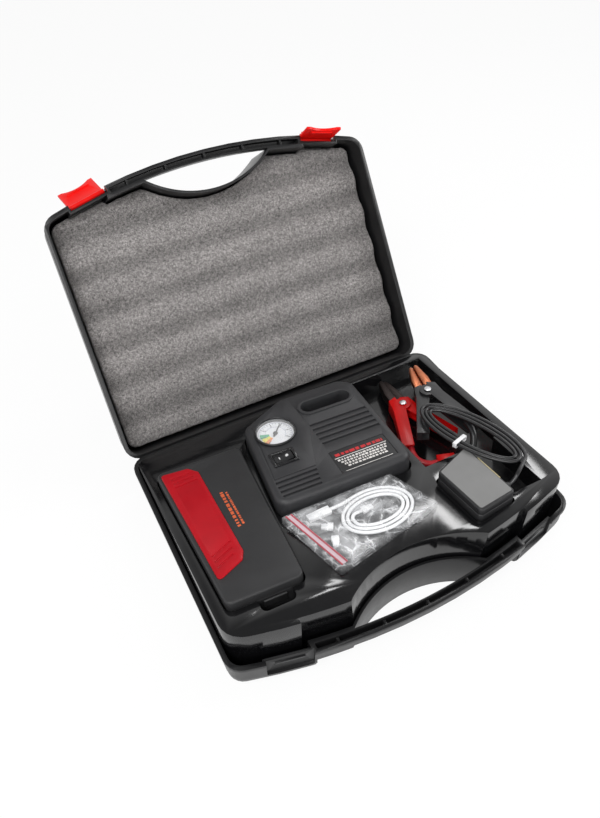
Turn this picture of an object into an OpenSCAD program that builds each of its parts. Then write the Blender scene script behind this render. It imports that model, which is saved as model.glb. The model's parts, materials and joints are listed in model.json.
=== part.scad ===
// Jump starter kit in a hard carrying case, standing open on a flat surface.
// Origin at the middle of the flat underside of the base, +Z up, +Y towards the hinge,
// so the handle and the two latches are at the front.

/* [Case] */
// Width of the case over its rim
case_w = 330; // [320:1:396]
// Depth of the case from the hinge edge to the middle of the bowed front
case_d = 260; // [252:1:312]
// Radius of the bowed front edge, seen from above
front_r = 530; // [480:10:700]
// Height of the base up to the parting line
base_h = 36; // [34:0.5:38]
// Depth of the lid from the parting line to its outer face
lid_h = 58; // [54:0.5:60]
// Thickness of the moulded case walls
wall = 2.5; // [2:0.1:3]
// How far the rim bead stands out from the wall
rim_step = 1.5; // [1:0.1:2]
// Height of the rim bead
rim_band = 4; // [3:0.5:5]
// Rounding under the base
base_round = 17; // [14:1:18]
// Rounding round the outer face of the lid
lid_round = 22; // [20:1:26]
// Radius of the two corners beside the handle
front_corner_r = 16; // [12:1:22]
// Radius of the two corners at the hinge
rear_corner_r = 15; // [12:1:20]
// Angle that the open lid makes with its closed place
lid_open = 125.6; // [115:0.1:127]

/* [Handle] */
// Radius of the curved rear wall of the hand hole
grip_r = 100; // [90:1:110]
// Distance from the front edge to the deepest point of the hand hole
grip_depth = 36.5; // [34:0.5:40]
// Thickness of the handle bar at its middle
bar_d = 9.5; // [9:0.5:12]
// Depth of the half of the handle bar that belongs to the base
base_bar = 12; // [10:0.5:16]
// Depth of the half of the handle bar that belongs to the lid
lid_bar = 12; // [10:0.5:16]
// Half of the length of the handle bar
bar_half = 99; // [90:1:105]
// Ribs across the channel of each half of the bar
bar_ribs = 5; // [3:1:7]

/* [Hinge] */
// Diameter of the hinge pins
hinge_pin_d = 3; // [2.5:0.1:3.5]
// Diameter of the hinge knuckles
knuckle_d = 7; // [6.4:0.1:7.4]
// Length of one knuckle
knuckle_l = 12; // [10:0.5:14]
// Distance of each knuckle group from the middle of the case
hinge_x = 98; // [80:1:110]

/* [Latches] */
// Width of a latch
latch_w = 36; // [30:1:40]
// Distance from a latch's pin to the tips of its horns
latch_l = 28; // [26:0.5:29]
// Angle between a latch and the middle of the case, round the front bow's centre
latch_turn = 13; // [12:0.1:14]
// Angle at which the flipped-up left latch rests, from closed
left_open = 140; // [100:1:142]
// Angle at which the right latch rests, from closed
right_open = 8; // [7:0.5:20]

/* [Tray] */
// Slope of the tray's deck, which rises to the front
deck_tilt = 6.8; // [5:0.1:8]
// Height of the deck over the middle of the case
deck_z = 53.8; // [52:0.2:55]
// Thickness of the formed tray sheet
sheet = 1.6; // [1.2:0.1:2]
// Gap round a piece in its pocket
nest_gap = 1.5; // [0.8:0.1:2]

/* [Power bank] */
// Height of the power bank
bank_h = 30; // [26:1:31]
// How far the power bank stands above the deck
bank_rise = 8; // [6:0.5:10]
// Thickness of the small housings' walls
shell_t = 2; // [1.5:0.1:2.5]

/* [Compressor] */
// Height of the compressor
comp_h = 42; // [36:1:43]
// How far the compressor stands above the deck
comp_rise = 16; // [14:0.5:18]
// Diameter of the pressure gauge
gauge_d = 39; // [34:0.5:41]
// Turn of the compressor on the deck
comp_turn = -3.5; // [-4:0.5:-2]

/* [Clamps] */
// Diameter of a clamp's pivot pin
clamp_pin_d = 4; // [3:0.2:5]
// Width of a clamp over its outer handle
clamp_w = 14; // [12:0.5:14.5]
// Thickness of a clamp's metal and handle walls
clamp_t = 2; // [1.6:0.1:2.4]

/* [Adapter and leads] */
// Height of the mains adapter
adapter_h = 28; // [24:1:29]
// How far the adapter stands above the deck
adapter_rise = 12; // [10:0.5:14]
// Diameter of the adapter's lead
lead_d = 3.4; // [3:0.1:3.6]
// Turns of the adapter's bundled lead
lead_turns = 3; // [2:1:3]
// Diameter of the charging cable
usb_d = 3; // [2.6:0.1:3.2]
// Turns of the charging cable
usb_turns = 3; // [2:1:3]

/* [Hidden] */

$fn = 48;
half_w = case_w / 2;
rear_y = case_d / 2;
front_y = -case_d / 2;
bow_y = front_y + front_r;
fit = 0.3;
pin_fit = 0.05;
over = 1;
// the parting line, and the small gap that the closed lid keeps to it
rim_gap = fit;
hinge_y = rear_y + 0.7;
hinge_z = base_h - 6.1;
hole_y = front_y + grip_depth - grip_r;
inner = rim_step + wall;
ring_t = 2.2;
lip = 1.6;
latch_pin_z = 10;
latch_pin_d = 2;
latch_pin_y = 3.2;
latch_pocket = 6;
latch_ceiling = 20;
pad_in = 4.5;
pad_drop = 20;

// ---- outlines and lofts ----

function arc_pts(c, r, a0, a1, n) = [for (i = [0:n]) c + r * [cos(a0 + (a1 - a0) * i / n),
    sin(a0 + (a1 - a0) * i / n)]];

// Case outline drawn in by d all round and by e more at the front
function outline(d, e = 0, fr = front_corner_r, rr = rear_corner_r) =
    let (
        r1 = max(rr - d, 1.5),
        r2 = max(fr - d, 1.5),
        xr = half_w - d - r1,
        yr = rear_y - d - r1,
        xf = half_w - d - r2,
        bow = front_r - d - e,
        yf = bow_y - sqrt(pow(bow - r2, 2) - xf * xf),
        a = atan2(yf - bow_y, xf),
        mid = arc_pts([0, bow_y], bow, 180 - a, 360 + a, 12))
    concat(
        arc_pts([xr, yr], r1, 0, 90, 5),
        arc_pts([-xr, yr], r1, 90, 180, 5),
        arc_pts([-xf, yf], r2, 180, 180 - a, 5),
        [for (i = [1:11]) mid[i]],
        arc_pts([xf, yf], r2, 360 + a, 360, 5));

function at_z(pts, z) = [for (p = pts) [p[0], p[1], z]];

// Solid between rings that all have the same number of points, listed from the bottom up
module loft(rings) {
    n = len(rings[0]);
    m = len(rings);
    polyhedron(
        points = [for (r = rings) each r],
        faces = concat(
            [[for (i = [0:n - 1]) i]],
            [for (k = [0:m - 2], i = [0:n - 1]) [k * n + i, (k + 1) * n + i, (k + 1) * n + (i + 1) % n]],
            [for (k = [0:m - 2], i = [0:n - 1]) [k * n + i, (k + 1) * n + (i + 1) % n,
                k * n + (i + 1) % n]],
            [[for (i = [n - 1:-1:0]) (m - 1) * n + i]]));
}

function unit(v) = v / norm(v);

// Corner directions of a polygon at point i: towards its two neighbours
function to_prev(p, i) = unit(p[(i + len(p) - 1) % len(p)] - p[i]);
function to_next(p, i) = unit(p[(i + 1) % len(p)] - p[i]);
function half_angle(p, i) = acos(to_prev(p, i) * to_next(p, i)) / 2;

// Convex polygon drawn in by d
function shrink(p, d) = [for (i = [0:len(p) - 1])
    p[i] + unit(to_prev(p, i) + to_next(p, i)) * d / sin(half_angle(p, i))];

// Convex polygon, listed anticlockwise, with its corners rounded to r
function rounded(p, r, n = 4) = [for (i = [0:len(p) - 1])
    let (
        u = to_prev(p, i),
        v = to_next(p, i),
        h = half_angle(p, i),
        c = p[i] + unit(u + v) * r / sin(h),
        s = p[i] + u * r / tan(h) - c,
        a0 = atan2(s[1], s[0]))
    each arc_pts(c, r, a0, a0 + 180 - 2 * h, n)];

// Moulded block between z0 and z1 whose upper and lower edges are rounded
module block(p, r, z0, z1, top = 2, bottom = 0, n = 4) {
    steps = 3;
    low = bottom > 0
        ? [for (k = [0:steps - 1]) [bottom * (1 - sin(90 * k / steps)),
            z0 + bottom * (1 - cos(90 * k / steps))]]
        : [];
    high = top > 0
        ? [for (k = [1:steps]) [top * (1 - cos(90 * k / steps)), z1 - top * (1 - sin(90 * k / steps))]]
        : [];
    levels = concat(low, [[0, z0 + bottom], [0, z1 - top]], high);
    loft([for (v = levels) at_z(rounded(shrink(p, v[0]), max(r - v[0], 0.4), n), v[1])]);
}

// Tube of n sides along points
module tube(path, d, n = 8) {
    m = len(path) - 1;
    tangent = [for (i = [0:m]) unit(path[min(i + 1, m)] - path[max(i - 1, 0)])];
    rings = [for (i = [0:m])
        let (
            side = unit(cross(tangent[i], [0.013, 0.021, 1])),
            up = cross(side, tangent[i]))
        [for (k = [0:n - 1]) path[i] + d / 2 * (cos(360 * k / n) * side + sin(360 * k / n) * up)]];
    loft(rings);
}

// Smooth run through hand-set points
function spline_at(p, i, t) =
    let (
        a = p[max(i - 1, 0)],
        b = p[i],
        c = p[i + 1],
        e = p[min(i + 2, len(p) - 1)])
    0.5 * ((2 * b) + (c - a) * t + (2 * a - 5 * b + 4 * c - e) * t * t + (3 * b - a - 3 * c + e)
        * t * t * t);
function spline(p, n) = concat([for (i = [0:len(p) - 2], k = [0:n - 1]) spline_at(p, i, k / n)],
    [p[len(p) - 1]]);

// ---- placing ----

module on_deck() {
    translate([0, 0, deck_z]) rotate([-deck_tilt, 0, 0]) children();
}

// Turns what is drawn in the lid's closed place to its open place
module as_open() {
    translate([0, hinge_y, hinge_z]) rotate([-lid_open, 0, 0]) translate([0, -hinge_y,
        -hinge_z]) children();
}

// Frame of a latch: origin on the front edge at the parting line, -Y outwards, side is 1 or -1
module at_latch(side) {
    translate([0, bow_y, base_h]) rotate([0, 0, side * latch_turn]) translate([0, -front_r, 0]) children();
}

// Frame of a latch swung open round its pin
module swung(angle) {
    translate([0, latch_pin_y, latch_pin_z]) rotate([-angle, 0, 0]) translate([0, -latch_pin_y,
        -latch_pin_z])
        children();
}

// ---- case shells ----

// Plan of the handle bar, a band along the bowed front, grown by g
module bar_zone(g) {
    r = front_r - bar_d - g;
    a = asin((bar_half + g) / r);
    polygon(concat([[-bar_half - g, -case_d], [bar_half + g, -case_d]], arc_pts([0, bow_y],
        r, 270 + a, 270 - a, 24)));
}

module grip_zone(g) {
    translate([0, hole_y]) circle(r = grip_r + g, $fn = 96);
    bar_zone(g);
}

// One moulded shell with its parting plane at z = h and its outer face at z = 0
module case_shell(h, round, bar) {
    steps = 5;
    outer_levels = concat(
        [for (k = [0:steps]) [rim_step + round * (1 - sin(90 * k / steps)),
            round * (1 - cos(90 * k / steps))]],
        [[rim_step, h - rim_band - rim_step], [0, h - rim_band], [0, h]]);
    r_in = round - wall;
    inner_levels = concat(
        [for (k = [0:steps]) [inner + r_in * (1 - sin(90 * k / steps)),
            wall + r_in * (1 - cos(90 * k / steps))]],
        [[inner, h + over]]);
    difference() {
        loft([for (v = outer_levels) at_z(outline(v[0]), v[1])]);
        difference() {
            loft([for (v = inner_levels) at_z(outline(v[0]), v[1])]);
            translate([0, 0, -over]) linear_extrude(h + 3 * over) grip_zone(ring_t);
        }
        translate([0, 0, -over]) linear_extrude(h - bar + over) grip_zone(0);
        translate([0, 0, -over]) linear_extrude(h + 3 * over) difference() {
            translate([0, hole_y]) circle(r = grip_r, $fn = 96);
            bar_zone(0);
        }
        difference() {
            translate([0, 0, h - bar + wall]) linear_extrude(bar) intersection() {
                polygon(outline(rim_step + lip));
                bar_zone(-lip);
            }
            for (i = [0:bar_ribs - 1])
                translate([(i - (bar_ribs - 1) / 2) * 2 * bar_half / bar_ribs - 1, front_y, h - bar])
                    cube([2, 60, bar - 2.5]);
        }
    }
}

// Knuckle k of 0 to 4 in a group: 0, 2 and 4 belong to the base
module knuckle_ring(side, k, d, l) {
    translate([side * hinge_x + (k - 2) * knuckle_l - l / 2, hinge_y, hinge_z]) rotate([0, 90, 0])
        cylinder(d = d, h = l);
}

module knuckle_bores() {
    for (side = [-1, 1])
        translate([side * hinge_x - 3 * knuckle_l, hinge_y, hinge_z]) rotate([0, 90, 0])
            cylinder(d = hinge_pin_d + 2 * pin_fit, h = 6 * knuckle_l);
}

module base_shell() color("dimgray") difference() {
    union() {
        case_shell(base_h, base_round, base_bar);
        // the wall is thicker behind the pads that the latches lie over
        for (side = [-1, 1]) at_latch(side)
            translate([-latch_w / 2 - 3.2, 3, -pad_drop - 3])
                cube([latch_w + 6.4, pad_in + ring_t - 3, pad_drop + 2]);
        for (side = [-1, 1]) {
            // backing block and knuckles
            translate([side * hinge_x - 3 * knuckle_l, rear_y - tray_in + fit, base_h - 15])
                cube([6 * knuckle_l, 2, 14]);
            for (k = [0, 2, 4]) {
                knuckle_ring(side, k, knuckle_d, knuckle_l - 2 * fit);
                translate([side * hinge_x + (k - 2) * knuckle_l - knuckle_l / 2 + fit, rear_y - 3,
                    hinge_z - 6])
                    cube([knuckle_l - 2 * fit, 4.5, 6]);
            }
        }
    }
    knuckle_bores();
    for (side = [-1, 1]) {
        for (k = [1, 3]) knuckle_ring(side, k, knuckle_d + 1.4, knuckle_l);
        // flat pad that the closed latch lies over, with its catch left standing
        at_latch(side) difference() {
            translate([-latch_w / 2 - 1, -5, -pad_drop]) cube([latch_w + 2, 5 + pad_in, base_h]);
            translate([-12, 3.2, -8]) cube([24, 3, 2.2]);
        }
    }
}

module lid_closed_shell() {
    translate([0, 0, base_h + lid_h]) mirror([0, 0, 1]) case_shell(lid_h - rim_gap, lid_round, lid_bar);
}

module lid_shell() color("dimgray") as_open() difference() {
    union() {
        lid_closed_shell();
        // latch pockets have their own inner walls and cheeks for the pin
        for (side = [-1, 1]) at_latch(side)
            translate([-latch_w / 2 - 3.2, 2, rim_gap])
                cube([latch_w + 6.4, latch_pocket + ring_t - 2, latch_ceiling + ring_t - rim_gap]);
        for (side = [-1, 1], k = [1, 3]) {
            knuckle_ring(side, k, knuckle_d, knuckle_l - 2 * fit);
            translate([side * hinge_x + (k - 2) * knuckle_l - knuckle_l / 2 + fit, hinge_y - 0.4, hinge_z])
                cube([knuckle_l - 2 * fit, knuckle_d / 2 + 0.4, base_h + 10 - hinge_z]);
            translate([side * hinge_x + (k - 2) * knuckle_l - knuckle_l / 2 + fit, rear_y - inner,
                base_h + rim_gap])
                cube([knuckle_l - 2 * fit, inner + 2, 10 - rim_gap]);
        }
    }
    knuckle_bores();
    for (side = [-1, 1]) at_latch(side) {
        translate([-latch_w / 2 - 1, -5, -over]) cube([latch_w + 2, 5 + latch_pocket,
            latch_ceiling + over]);
        translate([-latch_w / 2 - 5, latch_pin_y, latch_pin_z]) rotate([0, 90, 0])
            cylinder(d = latch_pin_d + 2 * pin_fit, h = latch_w + 10);
    }
}

module hinge_pins() color("silver") {
    for (side = [-1, 1])
        translate([side * hinge_x - 2.5 * knuckle_l + fit, hinge_y, hinge_z]) rotate([0, 90, 0])
            cylinder(d = hinge_pin_d, h = 5 * knuckle_l - 2 * fit);
}

// Latch in its closed place: a plate flush with the front, an eye for the pin, a hook and two horns
module latch() {
    t = 2.5;
    difference() {
        union() {
            translate([-latch_w / 2, fit, latch_pin_z - latch_l]) cube([latch_w, t, latch_l]);
            translate([-latch_w / 2, latch_pin_y, latch_pin_z]) rotate([0, 90, 0]) cylinder(r = 2.4,
                h = latch_w);
            translate([-11.5, fit, -12]) cube([23, t + 1.3, 3]);
            for (z = [-3, 2]) translate([-latch_w / 2, -0.6, z]) cube([latch_w, 1, 1.6]);
        }
        // hollow edge between the horns
        translate([0, -5, latch_pin_z - latch_l - 22]) rotate([-90, 0, 0]) cylinder(r = 26, h = 20);
        translate([-latch_w, latch_pin_y, latch_pin_z]) rotate([0, 90, 0])
            cylinder(d = latch_pin_d + 2 * pin_fit, h = 2 * latch_w);
    }
}

module latch_left() color("crimson") as_open() at_latch(-1) swung(left_open) latch();
module latch_right() color("crimson") as_open() at_latch(1) swung(right_open) latch();

module latch_pins() color("silver") as_open() {
    for (side = [-1, 1]) at_latch(side)
        translate([-latch_w / 2 - 2.5, latch_pin_y, latch_pin_z]) rotate([0, 90, 0])
            cylinder(d = latch_pin_d, h = latch_w + 5);
}

// Foam pad in the lid with broad waves across it
module lid_foam() color("gray") as_open() {
    face = base_h + 21;
    wave = 2.2;
    pitch = 36;
    count = 7;
    steps = 6;
    foam_in = inner + 3;
    r_in = lid_round - wall;
    top = base_h + lid_h - wall - fit;
    levels = concat(
        [[foam_in, face - 3 * wave], [foam_in, top - r_in + 1]],
        [for (k = [1:4]) [foam_in + (r_in - 1) * (1 - cos(90 * k / 4)),
            top - (r_in - 1) * (1 - sin(90 * k / 4))]]);
    waves = [for (i = [0:count * steps]) [rear_y - i * pitch / steps, face + wave * cos(360 * i / steps)]];
    difference() {
        intersection() {
            loft([for (v = levels) at_z(outline(v[0]), v[1])]);
            translate([-half_w, 0, 0]) rotate([90, 0, 90]) linear_extrude(case_w)
                polygon(concat(waves, [[waves[len(waves) - 1][0], top + over], [rear_y, top + over]]));
        }
        translate([0, 0, base_h]) linear_extrude(lid_h) grip_zone(ring_t + 1.5);
        for (side = [-1, 1]) at_latch(side)
            translate([-latch_w / 2 - 5, -5, 0])
                cube([latch_w + 10, latch_pocket + ring_t + 6.5, latch_ceiling + ring_t + 1.5]);
    }
}

// ---- tray ----

notch_plan = [[-126, -86.5], [-97, -87.5], [-96, -60], [-125, -60]];
bank_plan = [[-149, -72], [-85, -76], [-71, 85], [-151, 90]];
comp_at = [-5, 48];
comp_plan = [[-66, -61], [64, -61], [64, 60], [52, 70], [-12, 70], [-58, 45]];
adapter_plan = [[66, -97], [104.5, -93], [102, -28], [62.5, -42]];
tray_in = 5;
tray_feet = [[-132, -76], [132, -74], [-130, 90], [128, 90], [-24, -64], [24, -64]];
tray_front = 6;
tray_corner = 27;
black_at = [122, 58];
black_z = 3.2;
black_turn = -15;
red_at = [100.5, 69];
pin_head = 1;
red_z = black_z - clamp_w - 2 * fit - pin_head;
red_turn = -5;
tail = 58;

module at_comp() {
    translate([comp_at[0], comp_at[1], 0]) rotate([0, 0, comp_turn]) children();
}

// Everything below the deck, or below a height under it
module below_deck(drop) {
    on_deck() translate([-case_w, -case_d, -drop - 200]) cube([2 * case_w, 2 * case_d, 200]);
}

// Pockets of the tray, each grown by g at its sides and its floor
module pockets(g) {
    on_deck() {
        gap = nest_gap + g;
        translate([0, 0, bank_rise - bank_h - fit - g]) linear_extrude(60)
            polygon(rounded(shrink(bank_plan, -gap), 5 + gap));
        at_comp() translate([0, 0, comp_rise - comp_h - fit - g]) linear_extrude(60)
            polygon(rounded(shrink(comp_plan, -gap), 9 + gap));
        translate([0, 0, adapter_rise - adapter_h - fit - g]) linear_extrude(60)
            polygon(rounded(shrink(adapter_plan, -gap), 3 + gap));
        // finger notch in front of the power bank
        translate([0, 0, -15 - g]) linear_extrude(40) polygon(rounded(shrink(notch_plan, -g), 5 + g));
    }
    clamp_pocket(g);
}

clamp_floor = red_z - clamp_w / 2 - 2 * fit - pin_head;
plug_h = 8;
lead_z = clamp_floor + fit + plug_h / 2;
// The clamps' pocket and the narrower one in front of it that the leads lie in
module clamp_pocket(g) {
    on_deck() translate([0, 0, clamp_floor - g]) linear_extrude(60) {
        translate([64.5 - g, -22 - g]) square([87.5 + 2 * g, 139 + 2 * g]);
        translate([107.5 - g, -86 - g]) square([32 + 2 * g, 70]);
    }
}

module insert_tray() color([0.1, 0.1, 0.11]) {
    skirt_z = base_round + over;
    difference() {
        union() {
            difference() {
                intersection() {
                    translate([0, 0, skirt_z]) linear_extrude(80)
                        polygon(outline(tray_in, tray_front, tray_corner, 18));
                    below_deck(0);
                }
                intersection() {
                    linear_extrude(100) polygon(outline(tray_in + sheet, tray_front, tray_corner, 18));
                    below_deck(sheet);
                }
            }
            intersection() {
                translate([0, 0, skirt_z]) linear_extrude(80)
                    polygon(outline(tray_in, tray_front, tray_corner, 18));
                below_deck(0);
                grip_cut(sheet);
            }
            // moulded feet that carry the tray on the floor of the case
            intersection() {
                for (p = tray_feet) translate([p[0], p[1], wall + fit]) cylinder(r1 = 5, r2 = 7, h = 60);
                below_deck(0.1);
            }
            intersection() {
                pockets(sheet);
                below_deck(0.1);
                translate([0, 0, wall + fit]) linear_extrude(90) polygon(outline(inner + 6));
            }
        }
        grip_cut(0);
        pockets(0);
    }
}

// Space that the tray leaves for the case's hand hole, leaning back so that the closing lid swings clear
module grip_cut(g) {
    lean = 3.4;
    tall = 44;
    translate([0, hole_y, base_h - 30]) cylinder(r1 = grip_r + ring_t + 1 + g,
        r2 = grip_r + ring_t + 1 + g, h = 30);
    translate([0, hole_y, base_h - 0.01]) cylinder(r1 = grip_r + ring_t + 1 + g,
        r2 = grip_r + ring_t + 1 + lean + g,
        h = tall, $fn = 96);
    translate([0, 0, base_h - 30]) linear_extrude(30 + tall) bar_zone(ring_t + 1 + lean + g);
}

// ---- power bank ----

bank_split = bank_rise - 9;
bank_low = bank_rise - bank_h;

module bank_base() color([0.13, 0.13, 0.14]) on_deck() difference() {
    union() {
        difference() {
            block(bank_plan, 6, bank_low, bank_split - 0.05, top = 0, bottom = 2.5);
            translate([0, 0, bank_low + shell_t]) linear_extrude(bank_h)
                polygon(rounded(shrink(bank_plan, shell_t), 4));
        }
        for (p = bank_bosses) translate([p[0], p[1], bank_low + 1]) cylinder(d = 7, h = 11);
    }
    for (p = bank_bosses) translate([p[0], p[1], bank_low - over]) {
        cylinder(d = 5.6, h = over + 2);
        cylinder(d = 2.4, h = 11);
    }
    bank_front_cuts();
}
bank_bosses = [[-142, -65], [-94, -68], [-80, 76], [-143, 81]];
lamp_x = -24;
button_x = -13;
port_x = 6;

// Openings in the front end: the lamp, the button's bore and the socket
module bank_front_cuts() {
    at_bank_front() {
        translate([button_x, 0, -7]) rotate([90, 0, 0]) cylinder(d = 7 + 2 * pin_fit, h = 12,
            center = true);
        translate([lamp_x, 0, -7]) rotate([90, 0, 0]) cylinder(d = 6.2, h = 12, center = true);
        translate([port_x, 0, -7.5]) cube([18, 12, 6], center = true);
    }
}

// Frame on the middle of the power bank's front end, +X along it, -Y outwards, z from the deck
module at_bank_front() {
    p = bank_plan[0];
    q = bank_plan[1];
    translate([(p[0] + q[0]) / 2, (p[1] + q[1]) / 2, 0]) rotate([0, 0, atan2(q[1] - p[1],
        q[0] - p[0])]) children();
}

module bank_top() color([0.15, 0.15, 0.16]) on_deck() difference() {
    block(bank_plan, 6, bank_split, bank_rise, top = 2);
    translate([0, 0, bank_split - over]) linear_extrude(bank_rise - shell_t - bank_split + over)
        polygon(rounded(shrink(bank_plan, shell_t), 4));
    translate([0, 0, bank_rise - 1.2]) linear_extrude(3) polygon(rounded(shrink(panel_plan, -0.1), 3));
    // vents in the long side next to the compressor
    for (i = [0:5]) translate([-80, 20 + 7 * i, bank_split + 2.5]) cube([16, 2.5, 2]);
}

panel_plan = [[-145.5, -49], [-121, -39], [-117, -31], [-116, 72], [-123, 81], [-148, 85]];

// Red insert with moulded ridges near both ends
module bank_panel() color("firebrick") on_deck() {
    difference() {
        block(panel_plan, 3, bank_rise - 1.1, bank_rise + 1, top = 0.8);
        for (i = [0:2]) translate([-141, 62 + 5.5 * i, bank_rise + 0.4]) cube([21 - 2 * i, 2, 3]);
        for (i = [0:2]) translate([-141, -38 + 6 * i, bank_rise + 0.4]) rotate([0, 0,
            22]) cube([17 + 2 * i, 2, 3]);
    }
}

module bank_button() color("silver") on_deck() at_bank_front()
    translate([button_x, 2.2, -7]) rotate([90, 0, 0]) cylinder(d = 7, h = 3.4);

// Rubber flap over the clamp lead's socket, hanging on a round cord along its upper edge
module bank_port_flap() color([0.1, 0.1, 0.1]) on_deck() at_bank_front() {
    translate([port_x - 9.5, -1.3, -11.2]) cube([19, 1, 7.7]);
    translate([port_x - 9.5, -1.3, -3.5]) rotate([0, 90, 0]) cylinder(r = 0.9, h = 19);
}

module bank_socket() color("royalblue") on_deck() at_bank_front() difference() {
    translate([port_x - 10, shell_t, -11.5]) cube([20, 14, 8]);
    for (x = [-4.5, 4.5]) translate([port_x + x, -1, -7.5]) rotate([-90, 0, 0]) cylinder(r = 2.6, h = 13);
}

module bank_lamp_lens() color("lightcyan") on_deck() at_bank_front()
    translate([lamp_x, 0.8, -7]) rotate([90, 0, 0]) cylinder(r = 3, h = 1.4);

module bank_cells() color("slategray") on_deck() {
    for (i = [0:2]) translate([-141, -40 + i * 38, bank_low + shell_t + fit]) cube([54, 36, 14]);
}

module bank_board() color("darkgreen") on_deck()
    translate([-138, -52, bank_low + shell_t + fit + 14.3]) cube([46, 124, 1.6]);

// Four screws in bores under the power bank
module bank_screws() color("silver") on_deck()
    for (p = bank_bosses) translate([p[0], p[1], bank_low + 0.5]) {
        cylinder(d = 5, h = 1.5);
        cylinder(d = 2.3, h = 9);
    }

// ---- compressor ----

comp_split = comp_rise - 20;
comp_low = comp_rise - comp_h;
gauge_at = [-33.5, 24];
gauge_r = gauge_d / 2;
rocker_at = [-39.6, -11];
slot_at = [26.5, 43];
slot_w = 16;
plate_at = [25.6, -38];
comp_bosses = [[-58, -53], [56, -53], [56, 52], [-47, 44]];

module comp_front_shell() color([0.16, 0.16, 0.17]) on_deck() at_comp() difference() {
    union() {
        block(comp_plan, 10, comp_split + 0.05, comp_rise, top = 5);
        // raised panel that carries the gauge and the switch
        translate([0, 0, comp_rise - 2]) linear_extrude(3)
            polygon([[-57, -32.5], [-18, -32.5], [-2, 19], [-5, 62], [-12, 63], [-50, 41]]);
        // raised lip round the handle slot
        slot_tube(12, comp_rise + 1.5, 3);
    }
    difference() {
        translate([0, 0, comp_split - over]) linear_extrude(comp_rise - 3 - comp_split + over)
            polygon(rounded(shrink(comp_plan, shell_t + 1.5), 8));
        slot_tube(comp_h, comp_rise, 3.5);
    }
    slot_tube(3 * comp_h, comp_rise + comp_h, 0);
    // five long grooves beside the gauge, four short ones under the switch
    for (i = [0:4]) translate([-1, -12 + 7 * i, comp_rise - 1.8]) cube([58, 3.2, 6]);
    for (i = [0:3]) translate([-58, -55 + 5.6 * i, comp_rise - 1.8]) cube([36 + i, 2.6, 6]);
    translate([plate_at[0] - 27.5, plate_at[1] - 14.5, comp_rise - 0.8]) cube([55, 29, 3]);
    translate([gauge_at[0], gauge_at[1], comp_rise - 12]) cylinder(r = gauge_r + pin_fit, h = 20);
    translate([rocker_at[0], rocker_at[1], comp_rise - 2]) cube([21.4, 15.4, 20], center = true);
}

// Long rounded slot for the fingers, h tall with its top at z, grown by g
module slot_tube(h, z, g) {
    translate([slot_at[0], slot_at[1], z - h]) linear_extrude(h) {
        for (e = [-1, 1]) translate([e * 17.5, 0]) circle(r = slot_w / 2 + g);
        square([35, slot_w + 2 * g], center = true);
    }
}

module comp_rear_shell() color([0.13, 0.13, 0.14]) on_deck() at_comp() difference() {
    block(comp_plan, 10, comp_low, comp_split - 0.05, top = 0, bottom = 5);
    difference() {
        translate([0, 0, comp_low + shell_t]) linear_extrude(comp_h)
            polygon(rounded(shrink(comp_plan, shell_t + 1.5), 8));
        slot_tube(comp_h, comp_rise, 3.5);
    }
    slot_tube(3 * comp_h, comp_rise + comp_h, 0);
    for (p = comp_bosses) translate([p[0], p[1], comp_low - over]) cylinder(d = 6, h = 3);
}

module gauge_bezel() color([0.08, 0.08, 0.08]) on_deck() at_comp() translate([gauge_at[0], gauge_at[1],
    0]) {
    rotate_extrude() polygon([[gauge_r - 2.2, comp_rise - 10], [gauge_r, comp_rise - 10],
        [gauge_r, comp_rise + 2.6],
        [gauge_r - 0.7, comp_rise + 3.4], [gauge_r - 1.3, comp_rise + 3.4],
            [gauge_r - 1.5, comp_rise + 0.6],
        [gauge_r - 2.2, comp_rise + 0.6]]);
}

module gauge_dial() color("white") on_deck() at_comp() translate([gauge_at[0], gauge_at[1],
    comp_rise - 1.6])
    difference() {
        cylinder(r = gauge_r - 2.3, h = 0.8);
        translate([0, 0, -over]) cylinder(r = 1, h = 3);
    }

module gauge_needle() color("black") on_deck() at_comp() translate([gauge_at[0], gauge_at[1],
    comp_rise - 0.4])
    rotate([0, 0, needle_rest]) {
        cylinder(r = 2.2, h = 0.9);
        translate([0, 0, -5]) cylinder(r = 0.8, h = 5);
        linear_extrude(0.5) polygon([[-1.1, -4.5], [1.1, -4.5], [0.8, 0], [0.3, gauge_r - 5.5],
            [-0.3, gauge_r - 5.5], [-0.8, 0]]);
    }
needle_rest = -40;

module gauge_lens() color([0.8, 0.9, 1, 0.3]) on_deck() at_comp()
    translate([gauge_at[0], gauge_at[1], comp_rise + 0.9]) cylinder(r = gauge_r - 1.75, h = 0.9);

module rocker_frame() color([0.05, 0.05, 0.05]) on_deck() at_comp()
    translate([rocker_at[0], rocker_at[1], comp_rise]) difference() {
        union() {
            translate([-11.8, -8.8, 1.1]) cube([23.6, 17.6, 1.2]);
            translate([-10.6, -7.6, -9]) cube([21.2, 15.2, 10.2]);
        }
        translate([-9.2, -6.2, -7]) cube([18.4, 12.4, 20]);
    }

// Rocker with its two halves sloping down to the middle, on an axle along its width
module comp_rocker() color([0.07, 0.07, 0.07]) on_deck() at_comp()
    translate([rocker_at[0], rocker_at[1], comp_rise - 2]) rotate([0, rocker_rest, 0]) {
        translate([0, 5.7, 0]) rotate([90, 0, 0]) linear_extrude(11.4)
            polygon([[-8.3, 5.2], [-8.3, 0], [-3, -3], [3, -3], [8.3, 0], [8.3, 5.2], [0, 3.6]]);
        translate([0, 6.1, 0]) rotate([90, 0, 0]) cylinder(r = 1.5, h = 12.2);
    }
rocker_rest = -7;

module comp_motor() color("silver") on_deck() at_comp() {
    translate([-10, -38, comp_low + shell_t + 14.4]) rotate([0, -90, 0]) cylinder(r = 14, h = 42);
    translate([-10, -38, comp_low + shell_t + 14.4]) rotate([0, 90, 0]) cylinder(r = 4, h = 8);
}

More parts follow.
